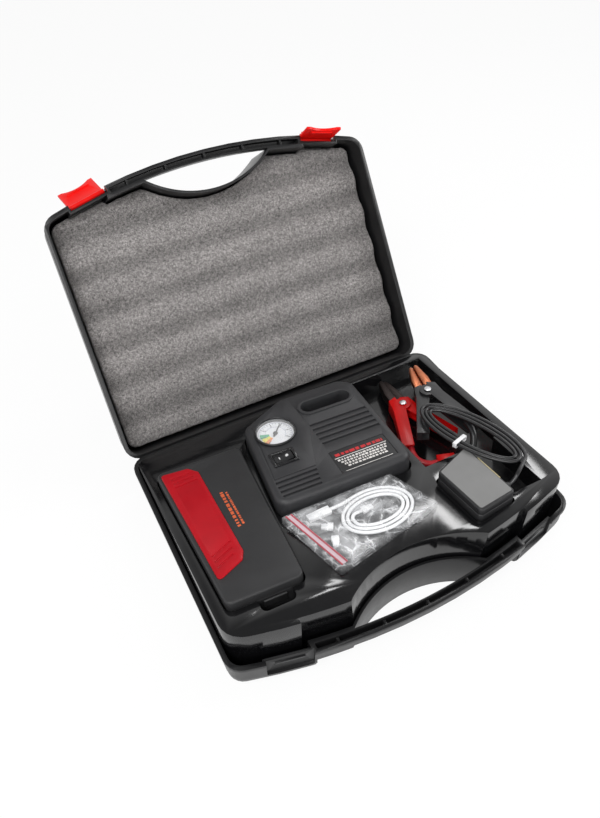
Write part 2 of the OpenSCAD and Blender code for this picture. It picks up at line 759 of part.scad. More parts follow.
module comp_cylinder() color("gray") on_deck() at_comp() {
    difference() {
        translate([-1, -56, comp_low + shell_t + fit]) cube([30, 36, 28]);
        translate([-2, -38, comp_low + shell_t + 14.4]) rotate([0, 90, 0]) cylinder(r = 4.6, h = 14);
    }
    translate([14, -21, comp_low + shell_t + 14.4]) rotate([-90, 0, 0]) cylinder(r = 11, h = 31);
}

// Four screws in bores under the compressor
module comp_screws() color("silver") on_deck() at_comp()
    for (p = comp_bosses) translate([p[0], p[1], comp_low + 0.4]) {
        cylinder(d = 5.4, h = 1.5);
        cylinder(d = 2.6, h = 1.55);
    }

// ---- clamps ----

// Places a clamp whose pivot is at p, at height z over the deck, with its jaws turned to angle a
module at_clamp(p, z, a) {
    on_deck() translate([p[0], p[1], z]) rotate([0, 0, a]) children();
}

// Side outline of one handle, from the pivot to its end, drawn in by g; the jaw side is +Y
function handle_plan(g) = [[1 + g, -8], [19 + g, -tail + g], [30 - g, -tail + g + 3], [13.5 - g, -6],
    [11 - g, 9], [3 + g, 12]];

// Half of a clamp: a channel-shaped handle with two cheeks round the pin, w wide
module handle(w, cheek) difference() {
    union() {
        translate([0, 0, -w / 2]) linear_extrude(w) polygon(handle_plan(0));
        translate([0, 0, -w / 2]) cylinder(r = 8, h = w);
    }
    translate([0, 0, -w / 2 + cheek]) linear_extrude(w - 2 * cheek) {
        polygon([[-1, -8], [15, -tail - 5], [30 - 2.4 * clamp_t, -tail - 5],
            [28 - 1.2 * clamp_t, -tail + 3],
            [13.5 - clamp_t, -6], [11 - clamp_t, 13], [-1, 13]]);
        circle(r = 8.5);
    }
    cylinder(d = clamp_pin_d + 2 * pin_fit, h = 2 * w, center = true);
}

// Toothed copper jaw that sits in the handle's channel
module jaw(w) {
    translate([0, 0, -w / 2]) linear_extrude(w) difference() {
        polygon([[0.4, 12.5], [0.4, 43], [2.4, 45], [4.5, 43], [8.5, 22], [8.6, 9.2], [5.5, 9.2]]);
        for (i = [0:5]) translate([0.2, 18 + 4.2 * i]) circle(r = 1.1, $fn = 4);
    }
}

function inner_w() = clamp_w - 2 * clamp_t - 2 * fit;

module clamp_spring() {
    wire = 1.2;
    turns = 2;
    r = 4.4;
    rise = 1.65;
    tube([for (i = [0:8 * turns]) [r * cos(45 * i), r * sin(45 * i), (i / 8 - turns / 2) * rise]], wire, 6);
}

module red_handle_fixed() color("red") at_clamp(red_at, red_z, red_turn) mirror([1, 0,
    0]) handle(clamp_w, clamp_t);
module red_handle_moving() color("red") at_clamp(red_at, red_z, red_turn) handle(inner_w(), clamp_t - 0.2);
module red_jaw_fixed() color("peru") at_clamp(red_at, red_z, red_turn) mirror([1, 0, 0]) jaw(inner_w());
module red_jaw_moving() color("peru") at_clamp(red_at, red_z, red_turn) jaw(inner_w() - 2 * clamp_t);
module red_clamp_pin() color("silver") at_clamp(red_at, red_z, red_turn) clamp_pin();
module red_clamp_spring() color("silver") at_clamp(red_at, red_z, red_turn) clamp_spring();
module black_handle_fixed() color([0.1, 0.1, 0.1]) at_clamp(black_at, black_z, black_turn)
    handle(clamp_w, clamp_t);
module black_handle_moving() color([0.1, 0.1, 0.1]) at_clamp(black_at, black_z, black_turn)
    mirror([1, 0, 0]) handle(inner_w(), clamp_t - 0.2);
module black_jaw_fixed() color("peru") at_clamp(black_at, black_z, black_turn) jaw(inner_w());
module black_jaw_moving() color("peru") at_clamp(black_at, black_z, black_turn)
    mirror([1, 0, 0]) jaw(inner_w() - 2 * clamp_t);
module black_clamp_pin() color("silver") at_clamp(black_at, black_z, black_turn) clamp_pin();
module black_clamp_spring() color("silver") at_clamp(black_at, black_z, black_turn) clamp_spring();

module clamp_pin() {
    cylinder(d = clamp_pin_d, h = clamp_w + 2 * pin_head, center = true);
    for (e = [-1, 1]) translate([0, 0, e * (clamp_w / 2 + fit + pin_head / 2)])
        cylinder(d = clamp_pin_d + 3, h = pin_head, center = true);
}

// Routes on the deck, by hand
red_route = [[75.6, 21, red_z], [74.4, 15, red_z], [72.2, 8.8, -13.3], [72.5, 1.8, -14.7], [75.7, -3.8, -15.8],
    [81.1, -7.5, lead_z], [87, -9.5, lead_z]];
black_route = [[129, 4.5, black_z], [128.2, -2.3, 3.1], [126.8, -8.4, 1], [124.5, -13.1, -3], [120, -17.4, -9.1],
    [114.7, -18.4, -13.6], [108.6, -17.4, -16.1], [103.6, -15.5, lead_z]];
lead_w = 6.5;
module red_lead() color("red") on_deck() tube(spline(red_route, 4), lead_w, 8);
module black_lead() color([0.08, 0.08, 0.08]) on_deck() tube(spline(black_route, 4), lead_w, 8);

module jump_plug() color("navy") on_deck() translate([95.3, -12.5, lead_z]) rotate([0, 0, -20]) difference() {
    cube([17, 13, plug_h], center = true);
    for (x = [-4, 4]) translate([x, 0, 0]) rotate([-90, 0, 0]) cylinder(r = 2.4, h = 20);
}

// ---- adapter ----

adapter_split = adapter_rise - 7;
module adapter_shell() color("silver") on_deck()
    block(adapter_plan, 4, adapter_rise - adapter_h, adapter_split - 0.05, top = 0, bottom = 1.5);
module adapter_cover() color("darkgray") on_deck()
    block(adapter_plan, 4, adapter_split + 0.05, adapter_rise, top = 1.5);

// Least gap between parts of a coil that are at least some points apart
function coil_gap(p, d, apart) = min([for (i = [0:len(p) - 1 - apart],
    j = [i + apart:len(p) - 1]) norm(p[i] - p[j])]) - d;

// Lead bundled into long loops; it leaves the adapter's side, winds in and ends at its plug in the pocket
lead_mid = [115, -18, adapter_rise + fit + lead_d / 2 + 0.2];
lead_axis = -74;
lead_long = 56;
lead_short = 10;
lead_pitch = lead_d + 1;
lead_rings = 24;
lead_out = [[105.9, -80, 5], [109.5, -80, 5], [114, -80, 8], [119, -78.5, 12.5]];
function lead_point(i) =
    let (
        turn = i / lead_rings,
        a = 360 * turn,
        grow = lead_pitch * turn,
        x = (lead_long - grow) * cos(a),
        y = (lead_short + lead_pitch * lead_turns - grow) * sin(a),
        c = cos(lead_axis),
        s = sin(lead_axis))
    [lead_mid[0] + x * c - y * s, lead_mid[1] + x * s + y * c, lead_mid[2]];
lead_loops = [for (i = [0:lead_rings * lead_turns - 7]) lead_point(i)];
lead_path = concat(lead_out, lead_loops);
echo(adapter_lead_least_gap = coil_gap(lead_loops, lead_d, 12));
module adapter_lead() color([0.07, 0.07, 0.07]) on_deck() tube(lead_path, lead_d, 6);

// Twist tie round the strands of the bundle's left side
module lead_tie() color("white") on_deck() translate([lead_mid[0], lead_mid[1],
    lead_mid[2]]) rotate([0, 0, lead_axis])
    translate([0, -lead_short - 1.25 * lead_pitch, 0]) difference() {
        cube([4, 3 * lead_pitch + 2.2, lead_d + 1.6], center = true);
        cube([6, 3 * lead_pitch + 0.6, lead_d + 0.6], center = true);
    }

// Tapered strain relief on the adapter's side, round the lead's straight start, and the round plug
// at its inner end
module lead_relief() color([0.06, 0.06, 0.06]) on_deck() translate([104.6, -80, 5]) rotate([0, 90,
    0]) difference() {
    cylinder(r1 = 3.3, r2 = lead_d / 2 + 0.6, h = 4.6);
    translate([0, 0, 1]) cylinder(d = lead_d + 2 * pin_fit, h = 10);
}
module dc_plug() color([0.06, 0.06, 0.06]) on_deck() {
    e = lead_loops[len(lead_loops) - 1];
    b = lead_loops[len(lead_loops) - 2];
    d = unit(e - b);
    translate(e + fit * d) rotate([0, 0, atan2(d[1], d[0])]) rotate([0, 90, 0]) cylinder(r = 1.7, h = 8);
}

// ---- bag with the charging cable ----

bag_plan = [[-59, -87], [46, -67], [29.5, -18], [-76, -14]];
bag_t = 8;
film = 0.5;
module zip_bag() color([0.9, 0.93, 0.95, 0.4]) on_deck() difference() {
    block(bag_plan, 2, fit, fit + bag_t, top = 2.5, bottom = 0);
    block(shrink(bag_plan, 2), 2, fit + film, fit + bag_t - film, top = 2, bottom = 0);
}
module zip_strip() color("mistyrose") on_deck()
    translate([0, 0, fit + bag_t + fit]) linear_extrude(0.8) polygon([[-57, -84], [-50, -82.6],
        [-66, -17], [-73, -17]]);

usb_mid = [-1, -45, fit + film + fit + usb_d / 2];
usb_long = 34;
usb_short = 24;
usb_pitch = usb_d + 1;
usb_rings = 24;
usb_start = 110;
usb_low = usb_mid[2];
function usb_point(i) =
    let (
        turn = i / usb_rings,
        grow = usb_pitch * turn,
        a = usb_start - 360 * turn)
    [usb_mid[0] + (usb_long - grow) * cos(a), usb_mid[1] + (usb_short - grow) * sin(a), usb_mid[2]];
usb_loops = [for (i = [0:usb_rings * usb_turns - 6]) usb_point(i)];
usb_path = concat([[-34, -24, usb_low], [-30.5, -24, usb_low], [-24, -24, usb_low],
    [-18, -23.4, usb_low]], usb_loops,
    [[-23, -43, usb_low], [-20, -39.5, usb_low], [-15.5, -39, usb_low], [-12, -39, usb_low]]);
echo(usb_cable_least_gap = coil_gap(usb_loops, usb_d, 12));
module usb_cable() color("white") on_deck() tube(usb_path, usb_d, 6);

// Plug in a plain frame: X along it, its cable end at the origin
module usb_plug(l, w, t) {
    translate([-l, -w / 2, -t / 2]) cube([l, w, t]);
}
module usb_a_plug() color("white") on_deck() translate(usb_path[0] - [fit, 0, 0]) {
    usb_plug(12, 8, 3);
    translate([-12, 0, 0]) usb_plug(9, 7, 3.2);
}

// Tip on the cable's inner end and two loose ones beside the loops
module usb_tip() {
    usb_plug(5, 6.5, 3);
    translate([-5, 0, 0]) usb_plug(5, 5, 2.2);
}
module usb_tips() color("white") on_deck() {
    translate(usb_path[len(usb_path) - 1] + [fit, 0, 0]) rotate([0, 0, 180]) usb_tip();
    translate([-41, -42, usb_low - usb_d / 2 + 1.6]) rotate([0, 0, -30]) usb_tip();
    translate([-45, -52, usb_low - usb_d / 2 + 1.6]) rotate([0, 0, 65]) usb_tip();
}

base_shell();
lid_shell();
hinge_pins();
latch_left();
latch_right();
latch_pins();
lid_foam();
insert_tray();
bank_base();
bank_top();
bank_panel();
bank_button();
bank_port_flap();
bank_socket();
bank_lamp_lens();
bank_cells();
bank_board();
bank_screws();
comp_front_shell();
comp_rear_shell();
gauge_bezel();
gauge_dial();
gauge_needle();
gauge_lens();
rocker_frame();
comp_rocker();
comp_motor();
comp_cylinder();
comp_screws();
red_handle_fixed();
red_handle_moving();
red_jaw_fixed();
red_jaw_moving();
red_clamp_pin();
red_clamp_spring();
black_handle_fixed();
black_handle_moving();
black_jaw_fixed();
black_jaw_moving();
black_clamp_pin();
black_clamp_spring();
red_lead();
black_lead();
jump_plug();
adapter_shell();
adapter_cover();
adapter_lead();
lead_relief();
lead_tie();
dc_plug();
zip_bag();
zip_strip();
usb_cable();
usb_a_plug();
usb_tips();
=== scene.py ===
"""Looks for a jump starter kit in its open carrying case, built round the packed CAD frame."""

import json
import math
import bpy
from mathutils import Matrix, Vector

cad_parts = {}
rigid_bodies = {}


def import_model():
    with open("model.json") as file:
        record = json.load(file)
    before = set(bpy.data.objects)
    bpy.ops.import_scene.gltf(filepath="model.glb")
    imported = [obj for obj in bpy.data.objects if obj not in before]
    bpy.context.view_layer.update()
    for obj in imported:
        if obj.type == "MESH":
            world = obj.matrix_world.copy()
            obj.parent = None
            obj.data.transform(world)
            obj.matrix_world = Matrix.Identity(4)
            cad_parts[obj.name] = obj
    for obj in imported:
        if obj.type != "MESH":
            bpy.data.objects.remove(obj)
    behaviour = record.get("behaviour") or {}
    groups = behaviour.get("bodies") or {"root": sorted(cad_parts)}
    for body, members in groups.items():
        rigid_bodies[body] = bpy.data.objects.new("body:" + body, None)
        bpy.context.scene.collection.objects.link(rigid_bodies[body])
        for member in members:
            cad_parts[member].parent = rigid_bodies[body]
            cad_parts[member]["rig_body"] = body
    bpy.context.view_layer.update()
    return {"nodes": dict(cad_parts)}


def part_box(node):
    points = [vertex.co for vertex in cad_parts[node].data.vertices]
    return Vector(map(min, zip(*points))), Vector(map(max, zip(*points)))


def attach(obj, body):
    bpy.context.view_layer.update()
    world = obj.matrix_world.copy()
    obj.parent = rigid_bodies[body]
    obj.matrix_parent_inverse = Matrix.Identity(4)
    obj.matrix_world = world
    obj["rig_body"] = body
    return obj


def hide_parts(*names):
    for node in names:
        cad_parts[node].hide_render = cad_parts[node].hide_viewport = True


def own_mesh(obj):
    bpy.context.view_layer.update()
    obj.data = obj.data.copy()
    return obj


bl_info = {
    "name": "Jump starter kit",
    "version": (1, 0, 0),
    "blender": (4, 5, 0),
    "location": "View3D > Sidebar > Starter kit",
    "description": "Case, tray, power bank, compressor, clamps, adapter and leads of a jump starter kit",
    "category": "Object",
}

import bmesh
import bpy
import numpy as np
from bpy.props import FloatProperty, FloatVectorProperty, IntProperty, PointerProperty
from mathutils import Matrix, Vector, noise

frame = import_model()
NODES = frame["nodes"]

# ---- the places that the CAD model gives, in millimetres ----

MM = 0.001
DECK_TILT = math.radians(6.8)
DECK_Z = 53.8
LID_OPEN = math.radians(125.6)
HINGE = (130.7, 29.9)
COMPRESSOR_AT = (-5.0, 48.0, 0.0)
COMPRESSOR_TURN = math.radians(-3.5)
ROCKER_AT = (-39.6, -11.0, 14.0)
ROCKER_REST = math.radians(-7)
ROCKER_SLOPE = math.radians(10.9)
ROCKER_FACE = 4.32
LABEL_AT = (25.6, -38.0)
LABEL_TOP = 15.6
GAUGE_AT = (-33.5, 24.0, 15.2)
BANK_TOP = 8.0
ADAPTER_TOP = 12.0
BAG_TOP = 8.4
LEAD_MID = (115.0, -18.0, 14.2)
CABLE_H = 2.6
RED_H = -12.4
LOW_H = -16.7


def deck(x, y, h):
    """Point over the tray's deck, in millimetres, as a place in metres."""
    c, s = math.cos(DECK_TILT), math.sin(DECK_TILT)
    return Vector((x, y * c + h * s, DECK_Z - y * s + h * c)) * MM


def deck_matrix():
    """Turns a place over the deck to a place in the frame."""
    return Matrix.Translation((0, 0, DECK_Z * MM)) @ Matrix.Rotation(-DECK_TILT, 4, "X")


def lid_matrix():
    """Turns the closed lid's place to its open one."""
    pin = Vector((0, HINGE[0], HINGE[1])) * MM
    return Matrix.Translation(pin) @ Matrix.Rotation(-LID_OPEN, 4, "X") @ Matrix.Translation(-pin)


def moved(x, y, z=0.0):
    return Matrix.Translation(Vector((x, y, z)) * MM)


def compressor_matrix():
    """Turns a place in the compressor's own frame to a place in the frame."""
    return deck_matrix() @ moved(*COMPRESSOR_AT) @ Matrix.Rotation(COMPRESSOR_TURN, 4, "Z")


# ---- node trees for finishes ----


class Nodes:
    """A node tree that is put together node by node."""

    family = "ShaderNode"

    def __init__(self, tree):
        self.tree = tree

    def set(self, socket, value):
        if isinstance(value, bpy.types.NodeSocket):
            self.tree.links.new(value, socket)
        else:
            socket.default_value = value

    def node(self, kind, inputs=None, **settings):
        made = self.tree.nodes.new(self.family + kind)
        for key, value in settings.items():
            setattr(made, key, value)
        for key, value in (inputs or {}).items():
            self.set(made.inputs[key], value)
        return made

    def maths(self, operation, first, second=0.0, clamp=False):
        made = self.node("Math", {0: first, 1: second}, operation=operation, use_clamp=clamp)
        return made.outputs[0]

    def shown(self):
        """One for rays that show a place to the camera, straight, mirrored or through glass, else nought."""
        path = self.node("LightPath").outputs
        seen = self.maths("ADD", path["Is Camera Ray"], path["Is Glossy Ray"])
        return self.maths("ADD", seen, path["Is Transmission Ray"], clamp=True)


class Shader(Nodes):
    """A material whose tree is put together node by node."""

    def __init__(self, name):
        self.material = bpy.data.materials.new(name)
        self.material.use_nodes = True
        super().__init__(self.material.node_tree)
        self.shader = self.tree.nodes["Principled BSDF"]
        self.output = self.tree.nodes["Material Output"]

    def principled(self, **inputs):
        for key, value in inputs.items():
            self.set(self.shader.inputs[key.replace("_", " ")], value)
        return self

    def place(self):
        return self.node("TexCoord").outputs["Object"]

    def noise(self, scale, detail=3.0, rough=0.5, where=None, distortion=0.0):
        return self.node("TexNoise", {
            "Vector": where or self.place(), "Scale": scale, "Detail": detail, "Roughness": rough,
            "Distortion": distortion}).outputs["Fac"]

    def ramp(self, factor, stops, ease="LINEAR"):
        made = self.node("ValToRGB", {"Fac": factor})
        made.color_ramp.interpolation = ease
        elements = made.color_ramp.elements
        while len(elements) < len(stops):
            elements.new(0.5)
        for element, (position, colour) in zip(elements, stops):
            element.position = position
            element.color = (*colour[:3], 1.0)
        return made.outputs["Color"]

    def between(self, factor, low, high):
        return self.node("MapRange", {"Value": factor, "To Min": low, "To Max": high}).outputs["Result"]

    def mix(self, factor, first, second, blend="MIX"):
        made = self.node("Mix", data_type="RGBA", blend_type=blend)
        self.set(made.inputs[0], factor)
        self.set(made.inputs[6], first)
        self.set(made.inputs[7], second)
        return made.outputs[2]

    def bump(self, height, distance, strength=1.0, normal=None):
        made = self.node("Bump", {"Height": height, "Distance": distance, "Strength": strength})
        if normal:
            self.set(made.inputs["Normal"], normal)
        return made.outputs["Normal"]


def shade(colour, factor):
    """The colour, darker or lighter."""
    return tuple(min(1.0, c * factor) for c in colour[:3]) + (1.0,)


def grey(level):
    return (level, level, level)


def moulded_plastic(name, colour, rough, grain=0.00035, depth=0.00002, cloud=0.12, coat=0.0, gloss=0.4):
    """Injection moulded plastic: a fine sparked grain, faint clouding and handling marks in the gloss."""
    s = Shader(name)
    cloudy = s.noise(35.0, 4.0, 0.6)
    fine = s.noise(1.0 / grain, 2.0, 0.5)
    colours = s.ramp(cloudy, [(0.3, shade(colour, 1 - cloud)), (0.7, shade(colour, 1 + cloud))])
    s.principled(Base_Color=colours,
                 Roughness=s.between(s.noise(120.0, 5.0, 0.65), rough - 0.07, rough + 0.09),
                 Normal=s.bump(fine, depth, 0.6),
                 Coat_Weight=coat, Coat_Roughness=0.2, Specular_IOR_Level=gloss)
    return s.material


def formed_sheet(name, colour, rough):
    """Glossy vacuum-formed sheet whose surface wanders a little, so reflections wobble."""
    s = Shader(name)
    wander = s.noise(22.0, 2.0, 0.4)
    orange = s.noise(300.0, 3.0, 0.6)
    first = s.bump(wander, 0.0008, 0.5)
    second = s.bump(orange, 0.00002, 0.4, first)
    dust = s.ramp(s.noise(160.0, 6.0, 0.75), [(0.52, shade(colour, 1.0)), (0.9, shade(colour, 1.6))])
    s.principled(Base_Color=dust, Roughness=s.between(s.noise(60.0, 4.0, 0.6), rough - 0.04, rough + 0.08),
                 Normal=second, Specular_IOR_Level=0.7)
    return s.material


def fuzzy_foam(name, colour):
    """Open-celled foam: mottled flecks over a soft nap, with painted shade in the waves' valleys and toward
    both ends of the pad.
    """
    s = Shader(name)
    where = s.place()
    flecks = s.noise(880.0, 6.0, 0.8, where)
    clumps = s.noise(400.0, 5.0, 0.7, where, 0.4)
    broad = s.noise(26.0, 3.0, 0.5, where)
    level = s.maths("ADD", s.maths("MULTIPLY", flecks, 0.6), s.maths("MULTIPLY", clumps, 0.4))
    speck = s.ramp(level, [(0.39, shade(colour, 0.25)), (0.5, shade(colour, 1.0)),
                           (0.62, shade(colour, 2.1))])
    tone = s.ramp(broad, [(0.3, grey(0.84)), (0.7, grey(1.0))])
    # Painted shade: the foam is darkened down in its waves' valleys, read from the valley attribute.
    hollow = s.node("Attribute", attribute_name="valley").outputs["Fac"]
    painted_valley_shade = s.ramp(hollow, [(0.45, grey(1.0)), (0.98, grey(0.72))], "EASE")
    # Painted shade: the foam is darkened toward its foot by the hinge and toward its top along the lid's rim.
    height = s.maths("MULTIPLY", s.node("SeparateXYZ", {0: where}).outputs["Z"], 4.0)
    painted_end_shade = s.ramp(height, [(0.12, grey(0.76)), (0.36, grey(1.0)), (0.7, grey(1.0)), (0.92, grey(0.72))],
                  "EASE")
    for layer in (tone, painted_end_shade, painted_valley_shade):
        speck = s.mix(1.0, speck, layer, "MULTIPLY")
    s.principled(Base_Color=speck, Roughness=0.96, Sheen_Weight=0.2, Sheen_Roughness=0.6,
                 Specular_IOR_Level=0.1, Normal=s.bump(level, 0.0016, 0.9))
    return s.material


def brushed_metal(name, colour, rough, scale=(900.0, 900.0, 60.0)):
    """Turned or drawn metal with fine lines."""
    s = Shader(name)
    where = s.node("Mapping", {"Vector": s.place(), "Scale": scale}).outputs["Vector"]
    lines = s.noise(1.0, 4.0, 0.6, where)
    s.principled(Base_Color=s.ramp(lines, [(0.3, shade(colour, 0.82)), (0.7, shade(colour, 1.1))]),
                 Metallic=1.0, Roughness=s.between(lines, rough - 0.06, rough + 0.12),
                 Normal=s.bump(lines, 0.00002, 0.4))
    return s.material


def rubber(name, colour, rough, gloss=0.0):
    """Smooth extruded or moulded rubber."""
    s = Shader(name)
    tone = s.ramp(s.noise(90.0, 4.0, 0.6), [(0.3, shade(colour, 0.85)), (0.75, shade(colour, 1.25))])
    s.principled(Base_Color=tone, Roughness=s.between(s.noise(60.0, 3.0, 0.6), rough - 0.05, rough + 0.08),
                 Normal=s.bump(s.noise(70.0, 2.0, 0.5), 0.00004, 0.3), Coat_Weight=gloss, Coat_Roughness=0.15)
    return s.material


def circuit_board(name, colour):
    """Green lacquered board with faint copper runs."""
    s = Shader(name)
    where = s.node("Mapping", {"Vector": s.place(), "Scale": (260.0, 260.0, 1.0)}).outputs["Vector"]
    runs = s.node("TexBrick", {
        "Vector": where, "Scale": 1.0, "Mortar Size": 0.06, "Color1": shade(colour, 0.9),
        "Color2": shade(colour, 1.2), "Mortar": (0.06, 0.24, 0.08, 1)})
    s.principled(Base_Color=runs.outputs["Color"], Roughness=0.35,
                 Normal=s.bump(s.noise(500.0), 0.00003, 0.5))
    return s.material


def clear_film(name, colour, cover):
    """Thin clear film: mostly seen through, with straight creases and milky patches that catch the light."""
    s = Shader(name)
    where = s.place()
    stray = s.node("TexNoise", {"Vector": where, "Scale": 40.0}).outputs["Color"]
    stray = s.node("VectorMath", {0: stray, 1: grey(0.006)}, operation="MULTIPLY").outputs[0]
    bent = s.node("VectorMath", {0: where, 1: stray}, operation="ADD").outputs[0]
    cells = s.node("TexVoronoi", {"Vector": bent, "Scale": 62.0}, feature="DISTANCE_TO_EDGE")
    edge = cells.outputs["Distance"]
    crease = s.ramp(edge, [(0.0, grey(1)), (0.035, grey(0.25)), (0.12, grey(0))])
    broken = s.ramp(s.noise(75.0, 3.0, 0.6, where), [(0.45, grey(0)), (0.62, grey(1))])
    milky = s.ramp(s.noise(32.0, 4.0, 0.6, where, 0.6), [(0.48, grey(0)), (0.75, grey(1))])
    veil = s.maths("ADD", s.maths("MULTIPLY", s.maths("MULTIPLY", crease, broken), 0.5),
                   s.maths("ADD", s.maths("MULTIPLY", milky, 0.3), cover), clamp=True)
    tint = s.ramp(s.noise(45.0, 3.0, 0.5, where), [(0.3, shade(colour, 0.9)), (0.7, shade(colour, 1.0))])
    s.principled(Base_Color=tint, Roughness=s.between(s.noise(70.0), 0.06, 0.18), Alpha=veil,
                 Specular_IOR_Level=0.8, Normal=s.bump(edge, 0.003, 0.7))
    return s.material


# ---- mesh tools ----


def link(name, mesh):
    made = bpy.data.objects.new(name, mesh)
    bpy.context.scene.collection.objects.link(made)
    return made


def from_bmesh(name, bm):
    mesh = bpy.data.meshes.new(name)
    bm.to_mesh(mesh)
    bm.free()
    return link(name, mesh)


def apply_all(obj):
    """Turns the object with its modifiers into a plain mesh."""
    bpy.context.view_layer.update()
    depsgraph = bpy.context.evaluated_depsgraph_get()
    mesh = bpy.data.meshes.new_from_object(
        obj.evaluated_get(depsgraph), preserve_all_data_layers=True, depsgraph=depsgraph)
    obj.modifiers.clear()
    obj.data = mesh
    return obj


def merged(node, whole=True):
    """Copy of a CAD node's mesh with its loose triangles joined and, if whole, flat faces made one."""
    bm = bmesh.new()
    bm.from_mesh(NODES[node].data)
    bmesh.ops.remove_doubles(bm, verts=bm.verts, dist=1e-6)
    if whole:
        bmesh.ops.dissolve_limit(bm, angle_limit=math.radians(0.6), verts=bm.verts, edges=bm.edges)
    return bm


def smooth(obj, angle):
    """Smooth shading that leaves edges sharper than the angle, in degrees, hard."""
    for polygon in obj.data.polygons:
        polygon.use_smooth = True
    obj.data.set_sharp_from_angle(angle=math.radians(angle))


def eased(node, name, width, segments, angle, finish, whole=True):
    """A CAD node's shape with its hard edges rounded, standing for that node."""
    obj = from_bmesh(name, merged(node, whole))
    bevel = obj.modifiers.new("edge", "BEVEL")
    bevel.width = width
    bevel.segments = segments
    bevel.limit_method = "ANGLE"
    bevel.angle_limit = math.radians(angle)
    bevel.harden_normals = False
    bevel.miter_outer = "MITER_ARC"
    apply_all(obj)
    smooth(obj, 50.0)
    painted(obj, finish)
    return stand_in(obj, node)


def body_of(node):
    return NODES[node]["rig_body"]


def stand_in(obj, node):
    """The piece takes the place of a CAD node, on its body."""
    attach(obj, body_of(node))
    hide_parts(node)
    return obj


def painted(obj, finish):
    obj.data.materials.clear()
    obj.data.materials.append(finish)
    return obj


def smooth_path(points, per):
    """Smooth run through points, per steps for each span."""
    p = [np.array(q, float) for q in points]
    out = []
    for i in range(len(p) - 1):
        a, b, c, e = p[max(i - 1, 0)], p[i], p[i + 1], p[min(i + 2, len(p) - 1)]
        for k in range(per):
            t = k / per
            out.append(0.5 * (2 * b + (c - a) * t + (2 * a - 5 * b + 4 * c - e) * t * t
                              + (3 * b - a - 3 * c + e) * t ** 3))
    return np.array(out + [p[-1]])


def placed(obj, matrix):
    """Puts the place in the mesh, so that the object itself stays at the origin."""
    obj.data.transform(matrix)
    obj.matrix_world = Matrix()
    return obj


def plate(bm, corners, low, high):
    """Adds a flat piece between two heights, in millimetres, to a mesh."""
    rings = [[bm.verts.new(Vector((x, y, z)) * MM) for x, y in corners] for z in (low, high)]
    bm.faces.new(list(reversed(rings[0])))
    bm.faces.new(rings[1])
    for k in range(len(corners)):
        n = (k + 1) % len(corners)
        bm.faces.new((rings[0][k], rings[0][n], rings[1][n], rings[1][k]))


def oblong(x, y, width, depth, radius=0.0, steps=4, turn=0.0):
    """Corners of a rectangle with rounded corners about (x, y)."""
    out = []
    for k, (sx, sy) in enumerate(((1, 1), (-1, 1), (-1, -1), (1, -1))):
        cx, cy = sx * (width / 2 - radius), sy * (depth / 2 - radius)
        for i in range(steps + 1 if radius else 1):
            a = math.radians(90 * k + (90 * i / steps if radius else 45))
            out.append((cx + radius * math.cos(a), cy + radius * math.sin(a)))
    c, s = math.cos(turn), math.sin(turn)
    return [(x + px * c - py * s, y + px * s + py * c) for px, py in out]


def thin_piece(name, bm, finish, matrix):
    """Flat plates as one piece, with its finish and its place."""
    bmesh.ops.recalc_face_normals(bm, faces=bm.faces)
    return placed(painted(from_bmesh(name, bm), finish), matrix)


# ---- node trees for what repeats or follows a path ----


class Tree(Nodes):
    """A geometry node tree with named inputs."""

    family = ""

    def __init__(self, name, inputs):
        super().__init__(bpy.data.node_groups.new(name, "GeometryNodeTree"))
        face = self.tree.interface
        face.new_socket("Geometry", in_out="INPUT", socket_type="NodeSocketGeometry")
        for label, kind in inputs:
            face.new_socket(label, in_out="INPUT", socket_type="NodeSocket" + kind)
        face.new_socket("Geometry", in_out="OUTPUT", socket_type="NodeSocketGeometry")
        self.given = super().node("NodeGroupInput").outputs
        self.result = super().node("NodeGroupOutput").inputs["Geometry"]

    def node(self, kind, inputs=None, **settings):
        return super().node(kind, inputs, **settings).outputs[0]

    def end(self, geometry):
        solid = self.node("GeometryNodeRealizeInstances", {"Geometry": geometry})
        done = self.node("GeometryNodeSetMaterial", {"Geometry": solid, "Material": self.given["Finish"]})
        self.tree.links.new(done, self.result)
        return self.tree


def cord_tree():
    """Round cord along a run of edges."""
    t = Tree("cord_along_route", [("Diameter", "Float"), ("Sides", "Int"), ("Finish", "Material")])
    run = t.node("GeometryNodeMeshToCurve", {"Mesh": t.given["Geometry"]})
    half = t.node("ShaderNodeMath", {0: t.given["Diameter"], 1: 0.5}, operation="MULTIPLY")
    ring = t.node("GeometryNodeCurvePrimitiveCircle", {"Resolution": t.given["Sides"], "Radius": half})
    skin = t.node("GeometryNodeCurveToMesh", {"Curve": run, "Profile Curve": ring, "Fill Caps": True})
    return t.end(t.node("GeometryNodeSetShadeSmooth", {"Geometry": skin}))


def repeat_tree():
    """A shape repeated in even turns round the upright axis."""
    t = Tree("even_turns", [("Count", "Int"), ("Turn", "Float"), ("Finish", "Material")])
    points = t.node("GeometryNodeMeshLine", {"Count": t.given["Count"], "Offset": (0, 0, 0)}, mode="OFFSET")
    index = t.node("GeometryNodeInputIndex")
    turn = t.node("ShaderNodeMath", {0: index, 1: t.given["Turn"]}, operation="MULTIPLY")
    about = t.node("ShaderNodeCombineXYZ", {"Z": turn})
    rotation = t.node("FunctionNodeEulerToRotation", {"Euler": about})
    return t.end(t.node("GeometryNodeInstanceOnPoints", {
        "Points": points, "Instance": t.given["Geometry"], "Rotation": rotation}))


def grown(obj, tree, **values):
    """Runs a node tree on an object and leaves the plain mesh that it makes."""
    modifier = obj.modifiers.new("grow", "NODES")
    modifier.node_group = tree
    for item in tree.interface.items_tree:
        if item.in_out == "INPUT" and item.name in values:
            modifier[item.identifier] = values[item.name]
    apply_all(obj)
    return obj


